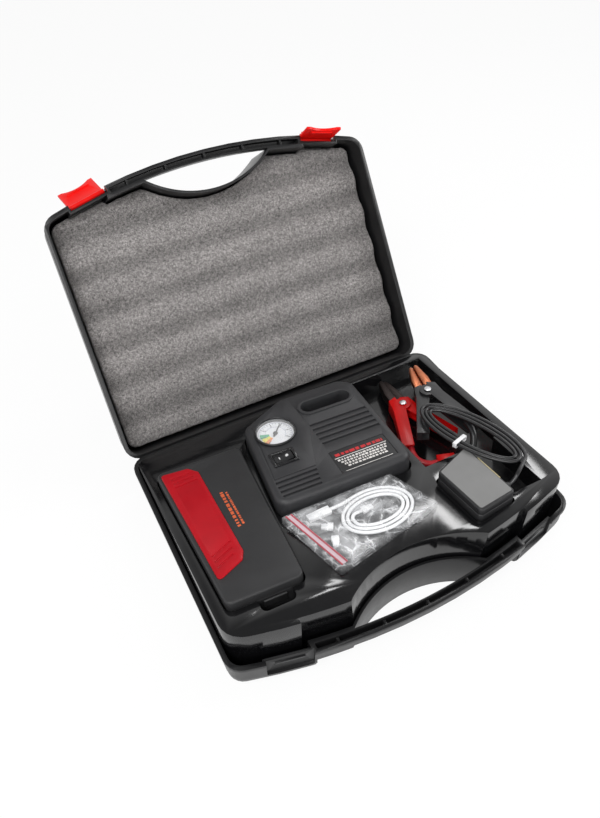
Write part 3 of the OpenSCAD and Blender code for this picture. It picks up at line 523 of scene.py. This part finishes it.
def cord_along(name, path, diameter, finish, sides=14):
    """Round cord along a path, and the path's length."""
    bm = bmesh.new()
    verts = [bm.verts.new(p) for p in path]
    for a, b in zip(verts, verts[1:]):
        bm.edges.new((a, b))
    obj = grown(from_bmesh(name, bm), cord_tree(), Diameter=diameter, Sides=sides, Finish=finish)
    bm = bmesh.new()
    bm.from_mesh(obj.data)
    bmesh.ops.remove_doubles(bm, verts=bm.verts, dist=1e-7)
    bmesh.ops.recalc_face_normals(bm, faces=bm.faces)
    bm.to_mesh(obj.data)
    bm.free()
    smooth(obj, 60.0)
    return obj, float(sum((b - a).length for a, b in zip(path, path[1:])))


def repeated(name, bm, count, finish, turn, matrix):
    """A small shape repeated count times round the upright axis, as one piece."""
    obj = grown(from_bmesh(name, bm), repeat_tree(), Count=count, Turn=turn, Finish=finish)
    return placed(obj, matrix)


def worn_on(obj, body):
    """An added piece rides on a body."""
    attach(obj, body)
    return obj


# ---- settings that a user would change ----


def colour_setting(name, description, default):
    return FloatVectorProperty(name=name, description=description, subtype="COLOR", size=3, min=0, max=1,
                               default=default)


def length_setting(name, description, default, low, high):
    return FloatProperty(name=name, description=description, unit="LENGTH", default=default, min=low,
                         max=high)


def gloss_setting(name, description, default, low):
    return FloatProperty(name=name, description=description, subtype="FACTOR", default=default, min=low,
                         max=1)


class CaseSettings(bpy.types.PropertyGroup):
    """Case, tray and latches"""

    shell_colour: colour_setting("Case colour", "Colour of the moulded case", (0.008, 0.008, 0.0085))
    shell_roughness: gloss_setting("Case roughness", "Gloss of the moulded case", 0.33, 0.1)
    edge: length_setting("Edge rounding", "Rounding along the case's moulded edges", 0.001, 0.0001, 0.002)
    tray_colour: colour_setting("Tray colour", "Colour of the formed tray", (0.004, 0.004, 0.0045))
    tray_roughness: gloss_setting("Tray roughness", "Gloss of the formed tray", 0.11, 0.05)
    latch_colour: colour_setting("Latch colour", "Colour of the two latches", (0.78, 0.008, 0.006))


class FoamSettings(bpy.types.PropertyGroup):
    """Foam in the lid"""

    colour: colour_setting("Foam colour", "Middle tone of the foam", (0.25, 0.236, 0.23))
    wave: length_setting("Wave height", "Half of the height of the foam's waves", 0.0022, 0, 0.003)
    nap: length_setting("Nap", "Height of the foam's fine unevenness", 0.0007, 0, 0.002)
    cell: length_setting("Cell", "Grid that the foam is formed on", 0.0016, 0.001, 0.004)
    seed: IntProperty(name="Seed", description="Seed of the foam's unevenness", default=4, min=0)


class BankSettings(bpy.types.PropertyGroup):
    """Power bank"""

    shell_colour: colour_setting("Housing colour", "Colour of the power bank's housing", (0.02, 0.02, 0.021))
    panel_colour: colour_setting("Panel colour", "Colour of the red insert", (0.37, 0.004, 0.010))


class CompressorSettings(bpy.types.PropertyGroup):
    """Compressor and its gauge"""

    shell_colour: colour_setting("Housing colour", "Colour of the compressor's housing",
                                 (0.026, 0.026, 0.028))
    dial_marks: IntProperty(name="Dial marks", description="Marks round the gauge's dial", default=25, min=5,
                            max=60)


class ClampSettings(bpy.types.PropertyGroup):
    """Battery clamps"""

    red: colour_setting("Red", "Colour of the red clamp", (0.47, 0.004, 0.004))
    black: colour_setting("Black", "Colour of the black clamp", (0.012, 0.012, 0.013))


class LeadSettings(bpy.types.PropertyGroup):
    """Leads, adapter and bag"""

    lead_diameter: length_setting("Lead diameter", "Diameter of the adapter's lead", 0.0034, 0.003, 0.0036)
    cable_diameter: length_setting("Cable diameter", "Diameter of the charging cable", 0.003, 0.0026, 0.0032)
    clamp_lead: length_setting("Clamp lead diameter", "Diameter of the two clamp leads", 0.0065, 0.005, 0.008)


class StageSettings(bpy.types.PropertyGroup):
    """Floor, lamps and camera"""

    floor_colour: colour_setting("Floor colour", "Colour of the floor", (0.86, 0.86, 0.86))
    floor_glow: FloatProperty(name="Floor glow", description="Share of plain white in the floor that is seen",
                              subtype="FACTOR", default=0.92, min=0, max=1)
    lens: FloatProperty(name="Lens", description="Focal length of the camera on a 36 mm side", default=31.8,
                        min=10)
    key: FloatProperty(name="Key lamp", description="Power of the large lamp", unit="POWER", default=13.0,
                       min=0)
    fill: FloatProperty(name="Sky", description="Strength of the even light", default=0.45, min=0)


# ---- stage ----


CAMERA_AT = (-0.21589, -0.33954, 0.55810)
CAMERA_TURN = (-26.311, 45.919, -1.739)
BRIGHT_BELOW = 0.52
DARK_ABOVE = 0.82
DARK_SKY = 0.22
# name, place, target, size and share of the key lamp's power
LAMPS = (("lamp_key", (-0.75, -0.45, 1.2), (0, 0.05, 0.1), (0.8, 0.6), 1.0),
         ("lamp_front", (-0.2, -1.15, 0.62), (0, 0, 0.1), (1.3, 0.3), 0.4),
         ("lamp_side", (1.05, -0.15, 0.75), (0, 0, 0.05), (0.5, 0.5), 0.4),
         ("card_right", (0.575, 0.58, 0.90), (0.05, -0.1, 0.066), (0.26, 0.16), 0.12),
         ("card_left", (0.269, 0.635, 0.955), (-0.06, -0.1, 0.065), (0.16, 0.08), 0.04))


def make_floor(settings):
    bm = bmesh.new()
    bmesh.ops.create_grid(bm, x_segments=1, y_segments=1, size=6)
    floor = from_bmesh("floor", bm)
    s = Shader("floor")
    s.principled(Base_Color=(*settings.floor_colour, 1), Roughness=0.9, Specular_IOR_Level=0.1)
    white = s.node("Emission", {"Color": (1, 1, 1, 1), "Strength": 1.0})
    share = s.maths("MULTIPLY", s.shown(), settings.floor_glow)
    both = s.node("MixShader", {0: share, 1: s.shader.outputs[0], 2: white.outputs[0]})
    s.set(s.output.inputs["Surface"], both.outputs[0])
    painted(floor, s.material)


def make_sky(scene, settings):
    """White sky, darker overhead where it is only mirrored, and even light from all round."""
    world = bpy.data.worlds.new("room")
    scene.world = world
    world.use_nodes = True
    w = Nodes(world.node_tree)
    sky = w.tree.nodes["Background"].inputs
    w.set(sky["Color"], (1, 1, 1, 1))
    upward = w.node("SeparateXYZ", {0: w.node("TexCoord").outputs["Generated"]}).outputs["Z"]
    overhead = w.node("MapRange", {"Value": upward, "From Min": BRIGHT_BELOW, "From Max": DARK_ABOVE,
                                   "To Min": 1.0, "To Max": DARK_SKY}).outputs["Result"]
    w.set(sky["Strength"], w.node("MapRange", {
        "Value": w.shown(), "To Min": settings.fill, "To Max": overhead}).outputs["Result"])


def make_lamps(scene, power):
    for name, place, target, size, share in LAMPS:
        lamp = bpy.data.lights.new(name, "AREA")
        lamp.shape = "RECTANGLE"
        lamp.size, lamp.size_y = size
        lamp.energy = power * share
        obj = bpy.data.objects.new(name, lamp)
        scene.collection.objects.link(obj)
        towards = (Vector(target) - Vector(place)).to_track_quat("-Z", "Y")
        obj.matrix_world = Matrix.Translation(place) @ towards.to_matrix().to_4x4()


def make_camera(scene, lens):
    az, el, roll = (math.radians(a) for a in CAMERA_TURN)
    back = Vector((math.sin(az) * math.cos(el), -math.cos(az) * math.cos(el), math.sin(el)))
    right = Vector((0, 0, 1)).cross(back).normalized()
    up = back.cross(right)
    c, r = math.cos(roll), math.sin(roll)
    camera = bpy.data.cameras.new("camera")
    camera.sensor_width = 36
    camera.sensor_fit = "AUTO"
    camera.lens = lens
    camera.clip_start = 0.01
    eye = bpy.data.objects.new("camera", camera)
    scene.collection.objects.link(eye)
    turn = Matrix((c * right + r * up, -r * right + c * up, back)).transposed().to_4x4()
    eye.matrix_world = Matrix.Translation(CAMERA_AT) @ turn
    scene.camera = eye


class KIT_OT_stage(bpy.types.Operator):
    """Make the floor, the soft lamps and the camera"""

    bl_idname = "kit.stage"
    bl_label = "Stage"

    def execute(self, context):
        settings = context.scene.kit_stage
        make_floor(settings)
        make_sky(context.scene, settings)
        make_lamps(context.scene, settings.key)
        make_camera(context.scene, settings.lens)
        context.scene.view_settings.view_transform = "Standard"
        return {"FINISHED"}


# ---- leads ----

TURN_STEPS = 24


def adapter_lead_route():
    """Points of the adapter's lead over the deck: out of the adapter, then wound in three turns."""
    c, s = math.cos(math.radians(-74)), math.sin(math.radians(-74))
    out = [(105.9, -80, 5), (109.5, -80, 5), (114, -80, 8), (119, -78.5, 12.5)]
    for i in range(TURN_STEPS * 3 - 6):
        turn = i / TURN_STEPS
        grow = 4.4 * turn
        x = (56 - grow) * math.cos(2 * math.pi * turn)
        y = (10 + 4.4 * 3 - grow) * math.sin(2 * math.pi * turn)
        out.append((LEAD_MID[0] + x * c - y * s, LEAD_MID[1] + x * s + y * c, LEAD_MID[2]))
    return out


def cable_route():
    """Points of the charging cable over the deck: from its large plug, in three turns, to the small plugs."""
    out = [(-34, -24), (-30.5, -24), (-24, -24), (-18, -23.4)]
    for i in range(TURN_STEPS * 3 - 5):
        turn = i / TURN_STEPS
        grow = 4.0 * turn
        a = math.radians(110 - 360 * turn)
        out.append((-1 + (34 - grow) * math.cos(a), -45 + (24 - grow) * math.sin(a)))
    out += [(-23, -43), (-20, -39.5), (-15.5, -39), (-12, -39)]
    return [(x, y, CABLE_H) for x, y in out]


RED_ROUTE = [(75.6, 21, RED_H), (74.4, 15, RED_H), (72.2, 8.8, -13.3), (72.5, 1.8, -14.7),
             (75.7, -3.8, -15.8), (81.1, -7.5, LOW_H), (87, -9.5, LOW_H)]
BLACK_ROUTE = [(129, 4.5, 3.2), (128.2, -2.3, 3.1), (126.8, -8.4, 1), (124.5, -13.1, -3),
               (120, -17.4, -9.1), (114.7, -18.4, -13.6), (108.6, -17.4, -16.1), (103.6, -15.5, LOW_H)]


class KIT_OT_leads(bpy.types.Operator):
    """Make the adapter's lead, the charging cable and the two clamp leads"""

    bl_idname = "kit.leads"
    bl_label = "Leads"

    def execute(self, context):
        settings = context.scene.kit_leads
        black = rubber("lead_black", (0.010, 0.010, 0.011), 0.3)
        white = rubber("cable_white", (0.88, 0.89, 0.91), 0.34, 0.3)
        thick_red = rubber("clamp_lead_red", (0.42, 0.012, 0.02), 0.4, 0.2)
        for name, node, route, per, wide, finish, lay, end, partners in (
                ("adapter_cord", "adapter_lead", adapter_lead_route(), 3, settings.lead_diameter, black,
                 "coiled", "plug", ["dc_plug"]),
                ("charging_cord", "usb_cable", cable_route(), 3, settings.cable_diameter, white,
                 "coiled", "connector", ["usb_a_plug", "usb_tips"]),
                ("red_clamp_cord", "red_lead", RED_ROUTE, 4, settings.clamp_lead, thick_red,
                 "loose", "plug", ["jump_plug"]),
                ("black_clamp_cord", "black_lead", BLACK_ROUTE, 4, settings.clamp_lead, black,
                 "loose", "object", [])):
            path = [deck(*p) for p in smooth_path(route, per)]
            obj, length = cord_along(name, path, wide, finish)
            stand_in(obj, node)
        return {"FINISHED"}


# ---- case ----


class KIT_OT_case(bpy.types.Operator):
    """Make the two moulded shells, the hinge pins and the latch pins"""

    bl_idname = "kit.case"
    bl_label = "Case"

    def execute(self, context):
        settings = context.scene.kit_case
        shell = moulded_plastic("case_black", settings.shell_colour, settings.shell_roughness)
        steel = brushed_metal("pin_steel", (0.56, 0.56, 0.57), 0.3)
        for node, name in (("base_shell", "base_moulding"), ("lid_shell", "lid_moulding")):
            eased(node, name, settings.edge, 2, 38, shell)
        for node in ("hinge_pins", "latch_pins"):
            painted(NODES[node], steel)
        return {"FINISHED"}


class KIT_OT_latches(bpy.types.Operator):
    """Make the two red latches"""

    bl_idname = "kit.latches"
    bl_label = "Latches"

    def execute(self, context):
        settings = context.scene.kit_case
        red = moulded_plastic("latch_red", settings.latch_colour, 0.3, 0.0008, 0.00001, 0.08, 0.1, 0.12)
        for node, name in (("latch_left", "left_catch"), ("latch_right", "right_catch")):
            eased(node, name, 0.0005, 3, 35, red)
        return {"FINISHED"}


class KIT_OT_foam(bpy.types.Operator):
    """Make the waved foam pad in the lid"""

    bl_idname = "kit.foam"
    bl_label = "Foam"

    def execute(self, context):
        settings = context.scene.kit_foam
        foam = from_bmesh("foam_pad", merged("lid_foam"))
        cells = foam.modifiers.new("cells", "REMESH")
        cells.mode = "VOXEL"
        cells.voxel_size = settings.cell
        apply_all(foam)
        mesh = foam.data
        count = len(mesh.vertices)
        place = np.empty(count * 3)
        facing = np.empty(count * 3)
        mesh.vertices.foreach_get("co", place)
        mesh.vertices.foreach_get("normal", facing)
        place, facing = place.reshape(-1, 3), facing.reshape(-1, 3)
        shift = Vector((settings.seed, 0.37 * settings.seed, 0))
        low, high = (np.array(c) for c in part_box("lid_foam"))
        for i, here in enumerate(Vector(p) for p in place):
            coarse = noise.noise(here * 130 + shift)
            fine = noise.noise(here * 420 + shift)
            place[i] += facing[i] * settings.nap * (0.55 * coarse + 0.5 * fine - 0.35)
        place = np.clip(place, low, high)
        mesh.vertices.foreach_set("co", place.ravel())
        # Depth into the waves' valleys, which the foam finish turns into painted shade.
        shut = np.array(lid_matrix().inverted())
        height = place @ shut[2, :3] + shut[2, 3]
        valley = np.clip((height - height.min()) / (2 * settings.wave), 0, 1)
        mesh.attributes.new("valley", "FLOAT", "POINT").data.foreach_set("value", valley)
        smooth(foam, 80.0)
        painted(foam, fuzzy_foam("foam_grey", settings.colour))
        stand_in(foam, "lid_foam")
        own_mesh(foam)
        return {"FINISHED"}


class KIT_OT_tray(bpy.types.Operator):
    """Make the formed tray"""

    bl_idname = "kit.tray"
    bl_label = "Tray"

    def execute(self, context):
        settings = context.scene.kit_case
        sheet = formed_sheet("tray_black", settings.tray_colour, settings.tray_roughness)
        eased("insert_tray", "formed_tray", 0.0012, 3, 35, sheet)
        return {"FINISHED"}


# ---- power bank ----


def printed(name, rows, low, finish, matrix, body, seed):
    """Short dashes in rows, each row (x, y, length, height, turn), as flat print."""
    spread = np.random.default_rng(seed)
    bm = bmesh.new()
    for x, y, length, height, turn in rows:
        at = -length / 2
        while at < length / 2:
            wide = min(height * spread.uniform(0.55, 1.5), length / 2 - at)
            if wide > 0.2 * height:
                c, s = math.cos(turn), math.sin(turn)
                mid = at + wide / 2
                tall = height * spread.uniform(0.85, 1.0)
                plate(bm, oblong(x + mid * c, y + mid * s, wide, tall, turn=turn), low, low + 0.1)
            at += wide + height * spread.uniform(0.25, 0.6)
    return worn_on(thin_piece(name, bm, finish, matrix), body)


class KIT_OT_bank(bpy.types.Operator):
    """Make the power bank"""

    bl_idname = "kit.bank"
    bl_label = "Power bank"

    def execute(self, context):
        settings = context.scene.kit_bank
        shell = moulded_plastic("bank_grey", settings.shell_colour, 0.52, 0.0004, 0.00003)
        red = moulded_plastic("panel_red", settings.panel_colour, 0.34, 0.0006, 0.00001, 0.1, 0.1, 0.15)
        eased("bank_base", "bank_lower", 0.0006, 2, 35, shell)
        eased("bank_top", "bank_upper", 0.0006, 2, 35, shell)
        eased("bank_panel", "bank_insert", 0.0003, 2, 30, red, whole=False)
        flap = rubber("flap_rubber", (0.02, 0.02, 0.021), 0.62)
        steel = brushed_metal("button_steel", (0.62, 0.62, 0.63), 0.28)
        eased("bank_port_flap", "port_flap", 0.0003, 2, 35, flap)
        eased("bank_button", "power_button", 0.0003, 2, 35, steel)
        eased("bank_socket", "socket_block", 0.0003, 2, 35,
              moulded_plastic("socket_blue", (0.02, 0.06, 0.3), 0.4))
        lens = Shader("lamp_lens")
        lens.principled(Base_Color=(0.93, 0.95, 0.97, 1), Roughness=0.06, Transmission_Weight=0.9, IOR=1.49,
                        Normal=lens.bump(lens.noise(1400.0, 2.0), 0.00004, 0.6))
        painted(NODES["bank_lamp_lens"], lens.material)
        painted(NODES["bank_cells"], moulded_plastic("cell_wrap", (0.05, 0.16, 0.28), 0.4, 0.0012, 0.00001))
        painted(NODES["bank_board"], circuit_board("board_green", (0.012, 0.13, 0.045)))
        painted(NODES["bank_screws"], steel)
        gold = moulded_plastic("print_gold", (0.56, 0.10, 0.03), 0.45, 0.0003, 0.000005, 0.2)
        along = math.radians(88.5)
        printed("bank_print", [(-108.7, 16, 44, 3.0, along), (-104.6, 16, 42, 2.0, along)], BANK_TOP - 0.02,
                gold, deck_matrix(), body_of("bank_top"), 11)
        return {"FINISHED"}


# ---- compressor ----


def wedge(bm, inner, outer, start, end, low, high):
    """Part of a flat ring, angles in degrees."""
    steps = max(2, int(abs(end - start) / 4))
    angles = [math.radians(start + (end - start) * k / steps) for k in range(steps + 1)]
    plate(bm, [(inner * math.cos(a), inner * math.sin(a)) for a in reversed(angles)]
          + [(outer * math.cos(a), outer * math.sin(a)) for a in angles], low, high)


class KIT_OT_compressor(bpy.types.Operator):
    """Make the compressor's housing, switch and label place"""

    bl_idname = "kit.compressor"
    bl_label = "Compressor"

    def execute(self, context):
        settings = context.scene.kit_compressor
        shell = moulded_plastic("compressor_grey", settings.shell_colour, 0.46, 0.00035, 0.00003)
        eased("comp_front_shell", "compressor_front", 0.0007, 2, 35, shell, whole=False)
        eased("comp_rear_shell", "compressor_rear", 0.0007, 2, 35, shell, whole=False)
        gloss = moulded_plastic("switch_black", (0.008, 0.008, 0.009), 0.25, 0.0008, 0.000005, 0.08, 0.4)
        eased("rocker_frame", "switch_frame", 0.0004, 2, 35, gloss)
        eased("comp_rocker", "switch_rocker", 0.0005, 3, 30, gloss)
        marks = moulded_plastic("mark_pale", (0.6, 0.6, 0.6), 0.5)
        rocker = compressor_matrix() @ moved(*ROCKER_AT) @ Matrix.Rotation(ROCKER_REST, 4, "Y")
        for name, x, slope, width, radius in (("switch_mark_1", -3.6, ROCKER_SLOPE, 1.0, 0.45),
                                              ("switch_mark_2", 3.6, -ROCKER_SLOPE, 3.0, 1.4)):
            bm = bmesh.new()
            plate(bm, oblong(0, 0, width, 3.0, radius), 0, 0.1)
            face = rocker @ moved(x, 0, ROCKER_FACE) @ Matrix.Rotation(slope, 4, "Y")
            worn_on(thin_piece(name, bm, marks, face), body_of("comp_rocker"))
        painted(NODES["comp_motor"], brushed_metal("motor_can", (0.45, 0.45, 0.46), 0.34))
        painted(NODES["comp_cylinder"],
                brushed_metal("cylinder_cast", (0.34, 0.35, 0.36), 0.5, (500.0, 500.0, 500.0)))
        painted(NODES["comp_screws"], brushed_metal("screw_steel", (0.5, 0.5, 0.51), 0.36))

        at = compressor_matrix()
        body = body_of("comp_front_shell")
        black = moulded_plastic("label_black", (0.006, 0.006, 0.007), 0.35, 0.0005, 0.000003, 0.2)
        pale = moulded_plastic("label_pale", (0.62, 0.60, 0.58), 0.5, 0.0004, 0.000004, 0.15)
        red = moulded_plastic("label_red", (0.48, 0.015, 0.02), 0.45, 0.0004, 0.000004, 0.15)
        x, y = LABEL_AT
        bm = bmesh.new()
        plate(bm, oblong(x, y, 54.2, 28.2, 1.0), LABEL_TOP - 0.45, LABEL_TOP + 0.02)
        worn_on(thin_piece("label_plate", bm, black, at), body)
        printed("label_head", [(x, y + 8.4, 47, 3.4, 0)], LABEL_TOP, red, at, body, 5)
        bm = bmesh.new()
        plate(bm, oblong(x, y + 4.6, 51, 0.8), LABEL_TOP, LABEL_TOP + 0.1)
        plate(bm, oblong(x, y - 13.0, 46, 0.5), LABEL_TOP, LABEL_TOP + 0.1)
        worn_on(thin_piece("label_rules", bm, pale, at), body)
        printed("label_lines", [(x + k * 0.4, y + 1.6 - 3.1 * k, 48 - 3 * k, 2.1, 0) for k in range(4)],
                LABEL_TOP, pale, at, body, 7)
        return {"FINISHED"}


# radii on the dial, in millimetres
MARK_END = 15.2
NUMBER_RADIUS = 11.0


class KIT_OT_gauge(bpy.types.Operator):
    """Make the pressure gauge"""

    bl_idname = "kit.gauge"
    bl_label = "Gauge"

    def execute(self, context):
        settings = context.scene.kit_compressor
        body = body_of("gauge_dial")
        at = compressor_matrix() @ moved(*GAUGE_AT)
        eased("gauge_bezel", "dial_bezel", 0.0003, 2, 30,
              moulded_plastic("bezel_black", (0.010, 0.010, 0.011), 0.3, coat=0.3))
        eased("gauge_needle", "dial_needle", 0.0001, 2, 35,
              moulded_plastic("needle_black", (0.012, 0.012, 0.013), 0.4))
        card = Shader("dial_white")
        paper = card.ramp(card.noise(260.0, 4.0), [(0.3, (0.70, 0.71, 0.74)), (0.7, (0.78, 0.79, 0.81))])
        card.principled(Base_Color=paper, Roughness=0.45, Normal=card.bump(card.noise(2400.0), 0.00001, 0.3))
        painted(NODES["gauge_dial"], card.material)
        ink = moulded_plastic("ink_black", (0.012, 0.012, 0.02), 0.5, 0.0005, 0.000002)
        blue = moulded_plastic("ink_blue", (0.05, 0.07, 0.22), 0.5, 0.0005, 0.000002)
        marks = settings.dial_marks
        sweep = math.radians(270) / (marks - 1)
        start = at @ Matrix.Rotation(math.radians(-45), 4, "Z")
        for name, count, turn, inner, width in (
                ("dial_fine_marks", marks, sweep, 13.4, 0.32),
                ("dial_long_marks", (marks - 1) // 4 + 1, sweep * 4, 11.9, 0.6)):
            bm = bmesh.new()
            plate(bm, oblong((inner + MARK_END) / 2, 0, MARK_END - inner, width), 0, 0.05)
            worn_on(repeated(name, bm, count, ink, turn, start), body)
        bm = bmesh.new()
        wedge(bm, 15.5, 15.8, -45, 225, 0, 0.05)
        wedge(bm, 9.6, 9.8, -45, 225, 0, 0.05)
        worn_on(thin_piece("dial_rings", bm, blue, at), body)
        for name, colour, first, last in (("dial_green", (0.03, 0.34, 0.16), 160, 186),
                                          ("dial_yellow", (0.72, 0.62, 0.04), 186, 208),
                                          ("dial_orange", (0.75, 0.22, 0.03), 208, 226)):
            bm = bmesh.new()
            wedge(bm, 6.0, 14.8, first, last, 0, 0.04)
            finish = moulded_plastic(name, colour, 0.5, 0.0005, 0.000002)
            worn_on(thin_piece(name, bm, finish, at), body)
        for k in range(7):
            name = f"dial_number_{k}"
            text = bpy.data.curves.new(name, "FONT")
            text.body = str(k * 20)
            text.size = 2.3 * MM
            text.align_x = text.align_y = "CENTER"
            text.extrude = 0.02 * MM
            shown = bpy.data.objects.new(name, text)
            context.scene.collection.objects.link(shown)
            mesh = bpy.data.meshes.new_from_object(shown)
            bpy.data.objects.remove(shown)
            a = math.radians(225 - 45 * k)
            spot = at @ moved(NUMBER_RADIUS * math.cos(a), NUMBER_RADIUS * math.sin(a), 0.03)
            worn_on(placed(painted(link(name, mesh), ink), spot), body)
        lens = Shader("gauge_clear")
        lens.principled(Base_Color=(1, 1, 1, 1), Roughness=0.03, Alpha=0.12, Specular_IOR_Level=0.6,
                        Normal=lens.bump(lens.noise(60.0, 2.0), 0.00005, 0.2))
        painted(NODES["gauge_lens"], lens.material)
        return {"FINISHED"}


# ---- clamps ----


class KIT_OT_clamps(bpy.types.Operator):
    """Make the battery clamps"""

    bl_idname = "kit.clamps"
    bl_label = "Clamps"

    def execute(self, context):
        settings = context.scene.kit_clamps
        red = moulded_plastic("grip_red", settings.red, 0.3, 0.0006, 0.00001, 0.1, 0.15, 0.1)
        black = moulded_plastic("grip_black", settings.black, 0.34, 0.0006, 0.00001, 0.1, 0.2)
        copper = brushed_metal("jaw_copper", (0.50, 0.17, 0.085), 0.3, (500.0, 500.0, 300.0))
        # The red clamp's jaws get a near-black copper: painted shade, as they lie low in the pocket.
        painted_shade_copper = brushed_metal("jaw_dark", (0.05, 0.04, 0.038), 0.45, (500.0, 500.0, 300.0))
        steel = brushed_metal("spring_steel", (0.6, 0.6, 0.61), 0.25)
        for side, grip, jaw in (("red", red, painted_shade_copper), ("black", black, copper)):
            for part, name in (("handle_fixed", "grip_fixed"), ("handle_moving", "grip_moving")):
                eased(f"{side}_{part}", f"{side}_{name}", 0.0012, 3, 35, grip)
            for part in ("jaw_fixed", "jaw_moving"):
                eased(f"{side}_{part}", f"{side}_{part}_plate", 0.0002, 2, 35, jaw)
            eased(f"{side}_clamp_pin", f"{side}_rivet", 0.0003, 2, 35, steel)
            painted(NODES[f"{side}_clamp_spring"], steel)
        eased("jump_plug", "starter_plug", 0.0006, 2, 35, red)
        return {"FINISHED"}


# ---- adapter, plugs and bag ----


class KIT_OT_adapter(bpy.types.Operator):
    """Make the mains adapter, its strain relief, plug and tie"""

    bl_idname = "kit.adapter"
    bl_label = "Adapter"

    def execute(self, context):
        case = moulded_plastic("adapter_black", (0.016, 0.016, 0.017), 0.4, 0.0005, 0.00003)
        black = rubber("relief_black", (0.012, 0.012, 0.013), 0.45)
        eased("adapter_shell", "adapter_lower", 0.0008, 3, 35, case)
        eased("adapter_cover", "adapter_upper", 0.0008, 3, 35, case)
        face = moulded_plastic("label_grey", (0.178, 0.178, 0.176), 0.5, 0.0006, 0.00001, 0.06)
        bm = bmesh.new()
        plate(bm, rounded([(67.9, -94.4), (102.7, -91.0), (100.4, -30.2), (64.8, -43.2)], 2.0),
              ADAPTER_TOP - 0.05, ADAPTER_TOP + 0.12)
        body = body_of("adapter_cover")
        worn_on(thin_piece("adapter_label", bm, face, deck_matrix()), body)
        beige = moulded_plastic("seam_beige", (0.42, 0.36, 0.20), 0.5)
        bm = bmesh.new()
        plate(bm, [(102.5, -75), (103.3, -75), (102.4, -46), (101.6, -46)],
              ADAPTER_TOP - 0.1, ADAPTER_TOP + 0.16)
        worn_on(thin_piece("adapter_seam", bm, beige, deck_matrix()), body)
        eased("lead_relief", "strain_relief", 0.0003, 2, 35, black)
        eased("dc_plug", "round_plug", 0.0003, 2, 35, black)
        eased("lead_tie", "twist_tie", 0.0002, 2, 35, rubber("tie_white", (0.7, 0.7, 0.71), 0.4))
        return {"FINISHED"}


def rounded(corners, radius, steps=4):
    """Corners with each one rounded off."""
    out = []
    points = [Vector(c) for c in corners]
    for k, here in enumerate(points):
        before = (points[k - 1] - here).normalized()
        after = (points[(k + 1) % len(points)] - here).normalized()
        half = before.angle(after) / 2
        centre = here + (before + after).normalized() * (radius / math.sin(half))
        start = here + before * (radius / math.tan(half)) - centre
        end = here + after * (radius / math.tan(half)) - centre
        for i in range(steps + 1):
            arm = start.lerp(end, i / steps)
            out.append(tuple(centre + arm.normalized() * radius))
    return out


class KIT_OT_bag(bpy.types.Operator):
    """Make the zip bag of clear film and the plugs in it"""

    bl_idname = "kit.bag"
    bl_label = "Bag"

    def execute(self, context):
        film = clear_film("bag_film", (0.95, 0.96, 0.98), 0.04)
        bag = eased("zip_bag", "clear_bag", 0.0004, 1, 40, film, whole=False)
        ridge = moulded_plastic("zip_red", (0.40, 0.06, 0.08), 0.35, 0.0006, 0.00001)
        bm = bmesh.new()
        for inset in (0.4, 5.2):
            plate(bm, [(-57 + inset, -84 + inset * 0.2), (-55.9 + inset, -83.8 + inset * 0.2),
                       (-71.9 + inset, -17), (-73 + inset, -17)], BAG_TOP, BAG_TOP + 0.75)
        stand_in(thin_piece("zip_seal", bm, ridge, deck_matrix()), "zip_strip")
        pale = moulded_plastic("zip_pale", (0.56, 0.44, 0.48), 0.3, 0.0006, 0.00001)
        bm = bmesh.new()
        plate(bm, [(-56.4, -83.7), (-50.2, -82.5), (-66.2, -17.1), (-72.4, -17.1)],
              BAG_TOP - 0.04, BAG_TOP + 0.15)
        worn_on(thin_piece("zip_band", bm, pale, deck_matrix()), body_of("zip_strip"))
        white = rubber("plug_white", (0.84, 0.85, 0.87), 0.3, 0.3)
        eased("usb_a_plug", "usb_plug", 0.0003, 2, 35, white)
        eased("usb_tips", "small_plugs", 0.0002, 2, 35, white)
        return {"FINISHED"}


# ---- add-on ----

SETTINGS = (
    ("kit_case", CaseSettings), ("kit_foam", FoamSettings), ("kit_bank", BankSettings),
    ("kit_compressor", CompressorSettings), ("kit_clamps", ClampSettings), ("kit_leads", LeadSettings),
    ("kit_stage", StageSettings))
OPERATORS = (KIT_OT_stage, KIT_OT_leads, KIT_OT_case, KIT_OT_latches, KIT_OT_foam, KIT_OT_tray, KIT_OT_bank,
             KIT_OT_compressor, KIT_OT_gauge, KIT_OT_clamps, KIT_OT_adapter, KIT_OT_bag)


class KIT_PT_panel(bpy.types.Panel):
    bl_idname = "KIT_PT_panel"
    bl_label = "Jump starter kit"
    bl_space_type = "VIEW_3D"
    bl_region_type = "UI"
    bl_category = "Starter kit"

    def draw(self, context):
        for name, group in SETTINGS:
            box = self.layout.box()
            box.label(text=group.__doc__)
            for key in group.__annotations__:
                box.prop(getattr(context.scene, name), key)
        for operator in OPERATORS:
            self.layout.operator(operator.bl_idname)


def register():
    for _, group in SETTINGS:
        bpy.utils.register_class(group)
    for name, group in SETTINGS:
        setattr(bpy.types.Scene, name, PointerProperty(type=group))
    for operator in (*OPERATORS, KIT_PT_panel):
        bpy.utils.register_class(operator)


def unregister():
    for operator in reversed((*OPERATORS, KIT_PT_panel)):
        bpy.utils.unregister_class(operator)
    for name, group in reversed(SETTINGS):
        delattr(bpy.types.Scene, name)
        bpy.utils.unregister_class(group)


def corners(box):
    """The two corners of a box as plain lists of numbers."""
    return [[float(c) for c in corner] for corner in box]


def main():
    register()
    for operator in OPERATORS:
        group, step = operator.bl_idname.split(".")
        getattr(getattr(bpy.ops, group), step)()


if __name__ == "__main__":
    main()
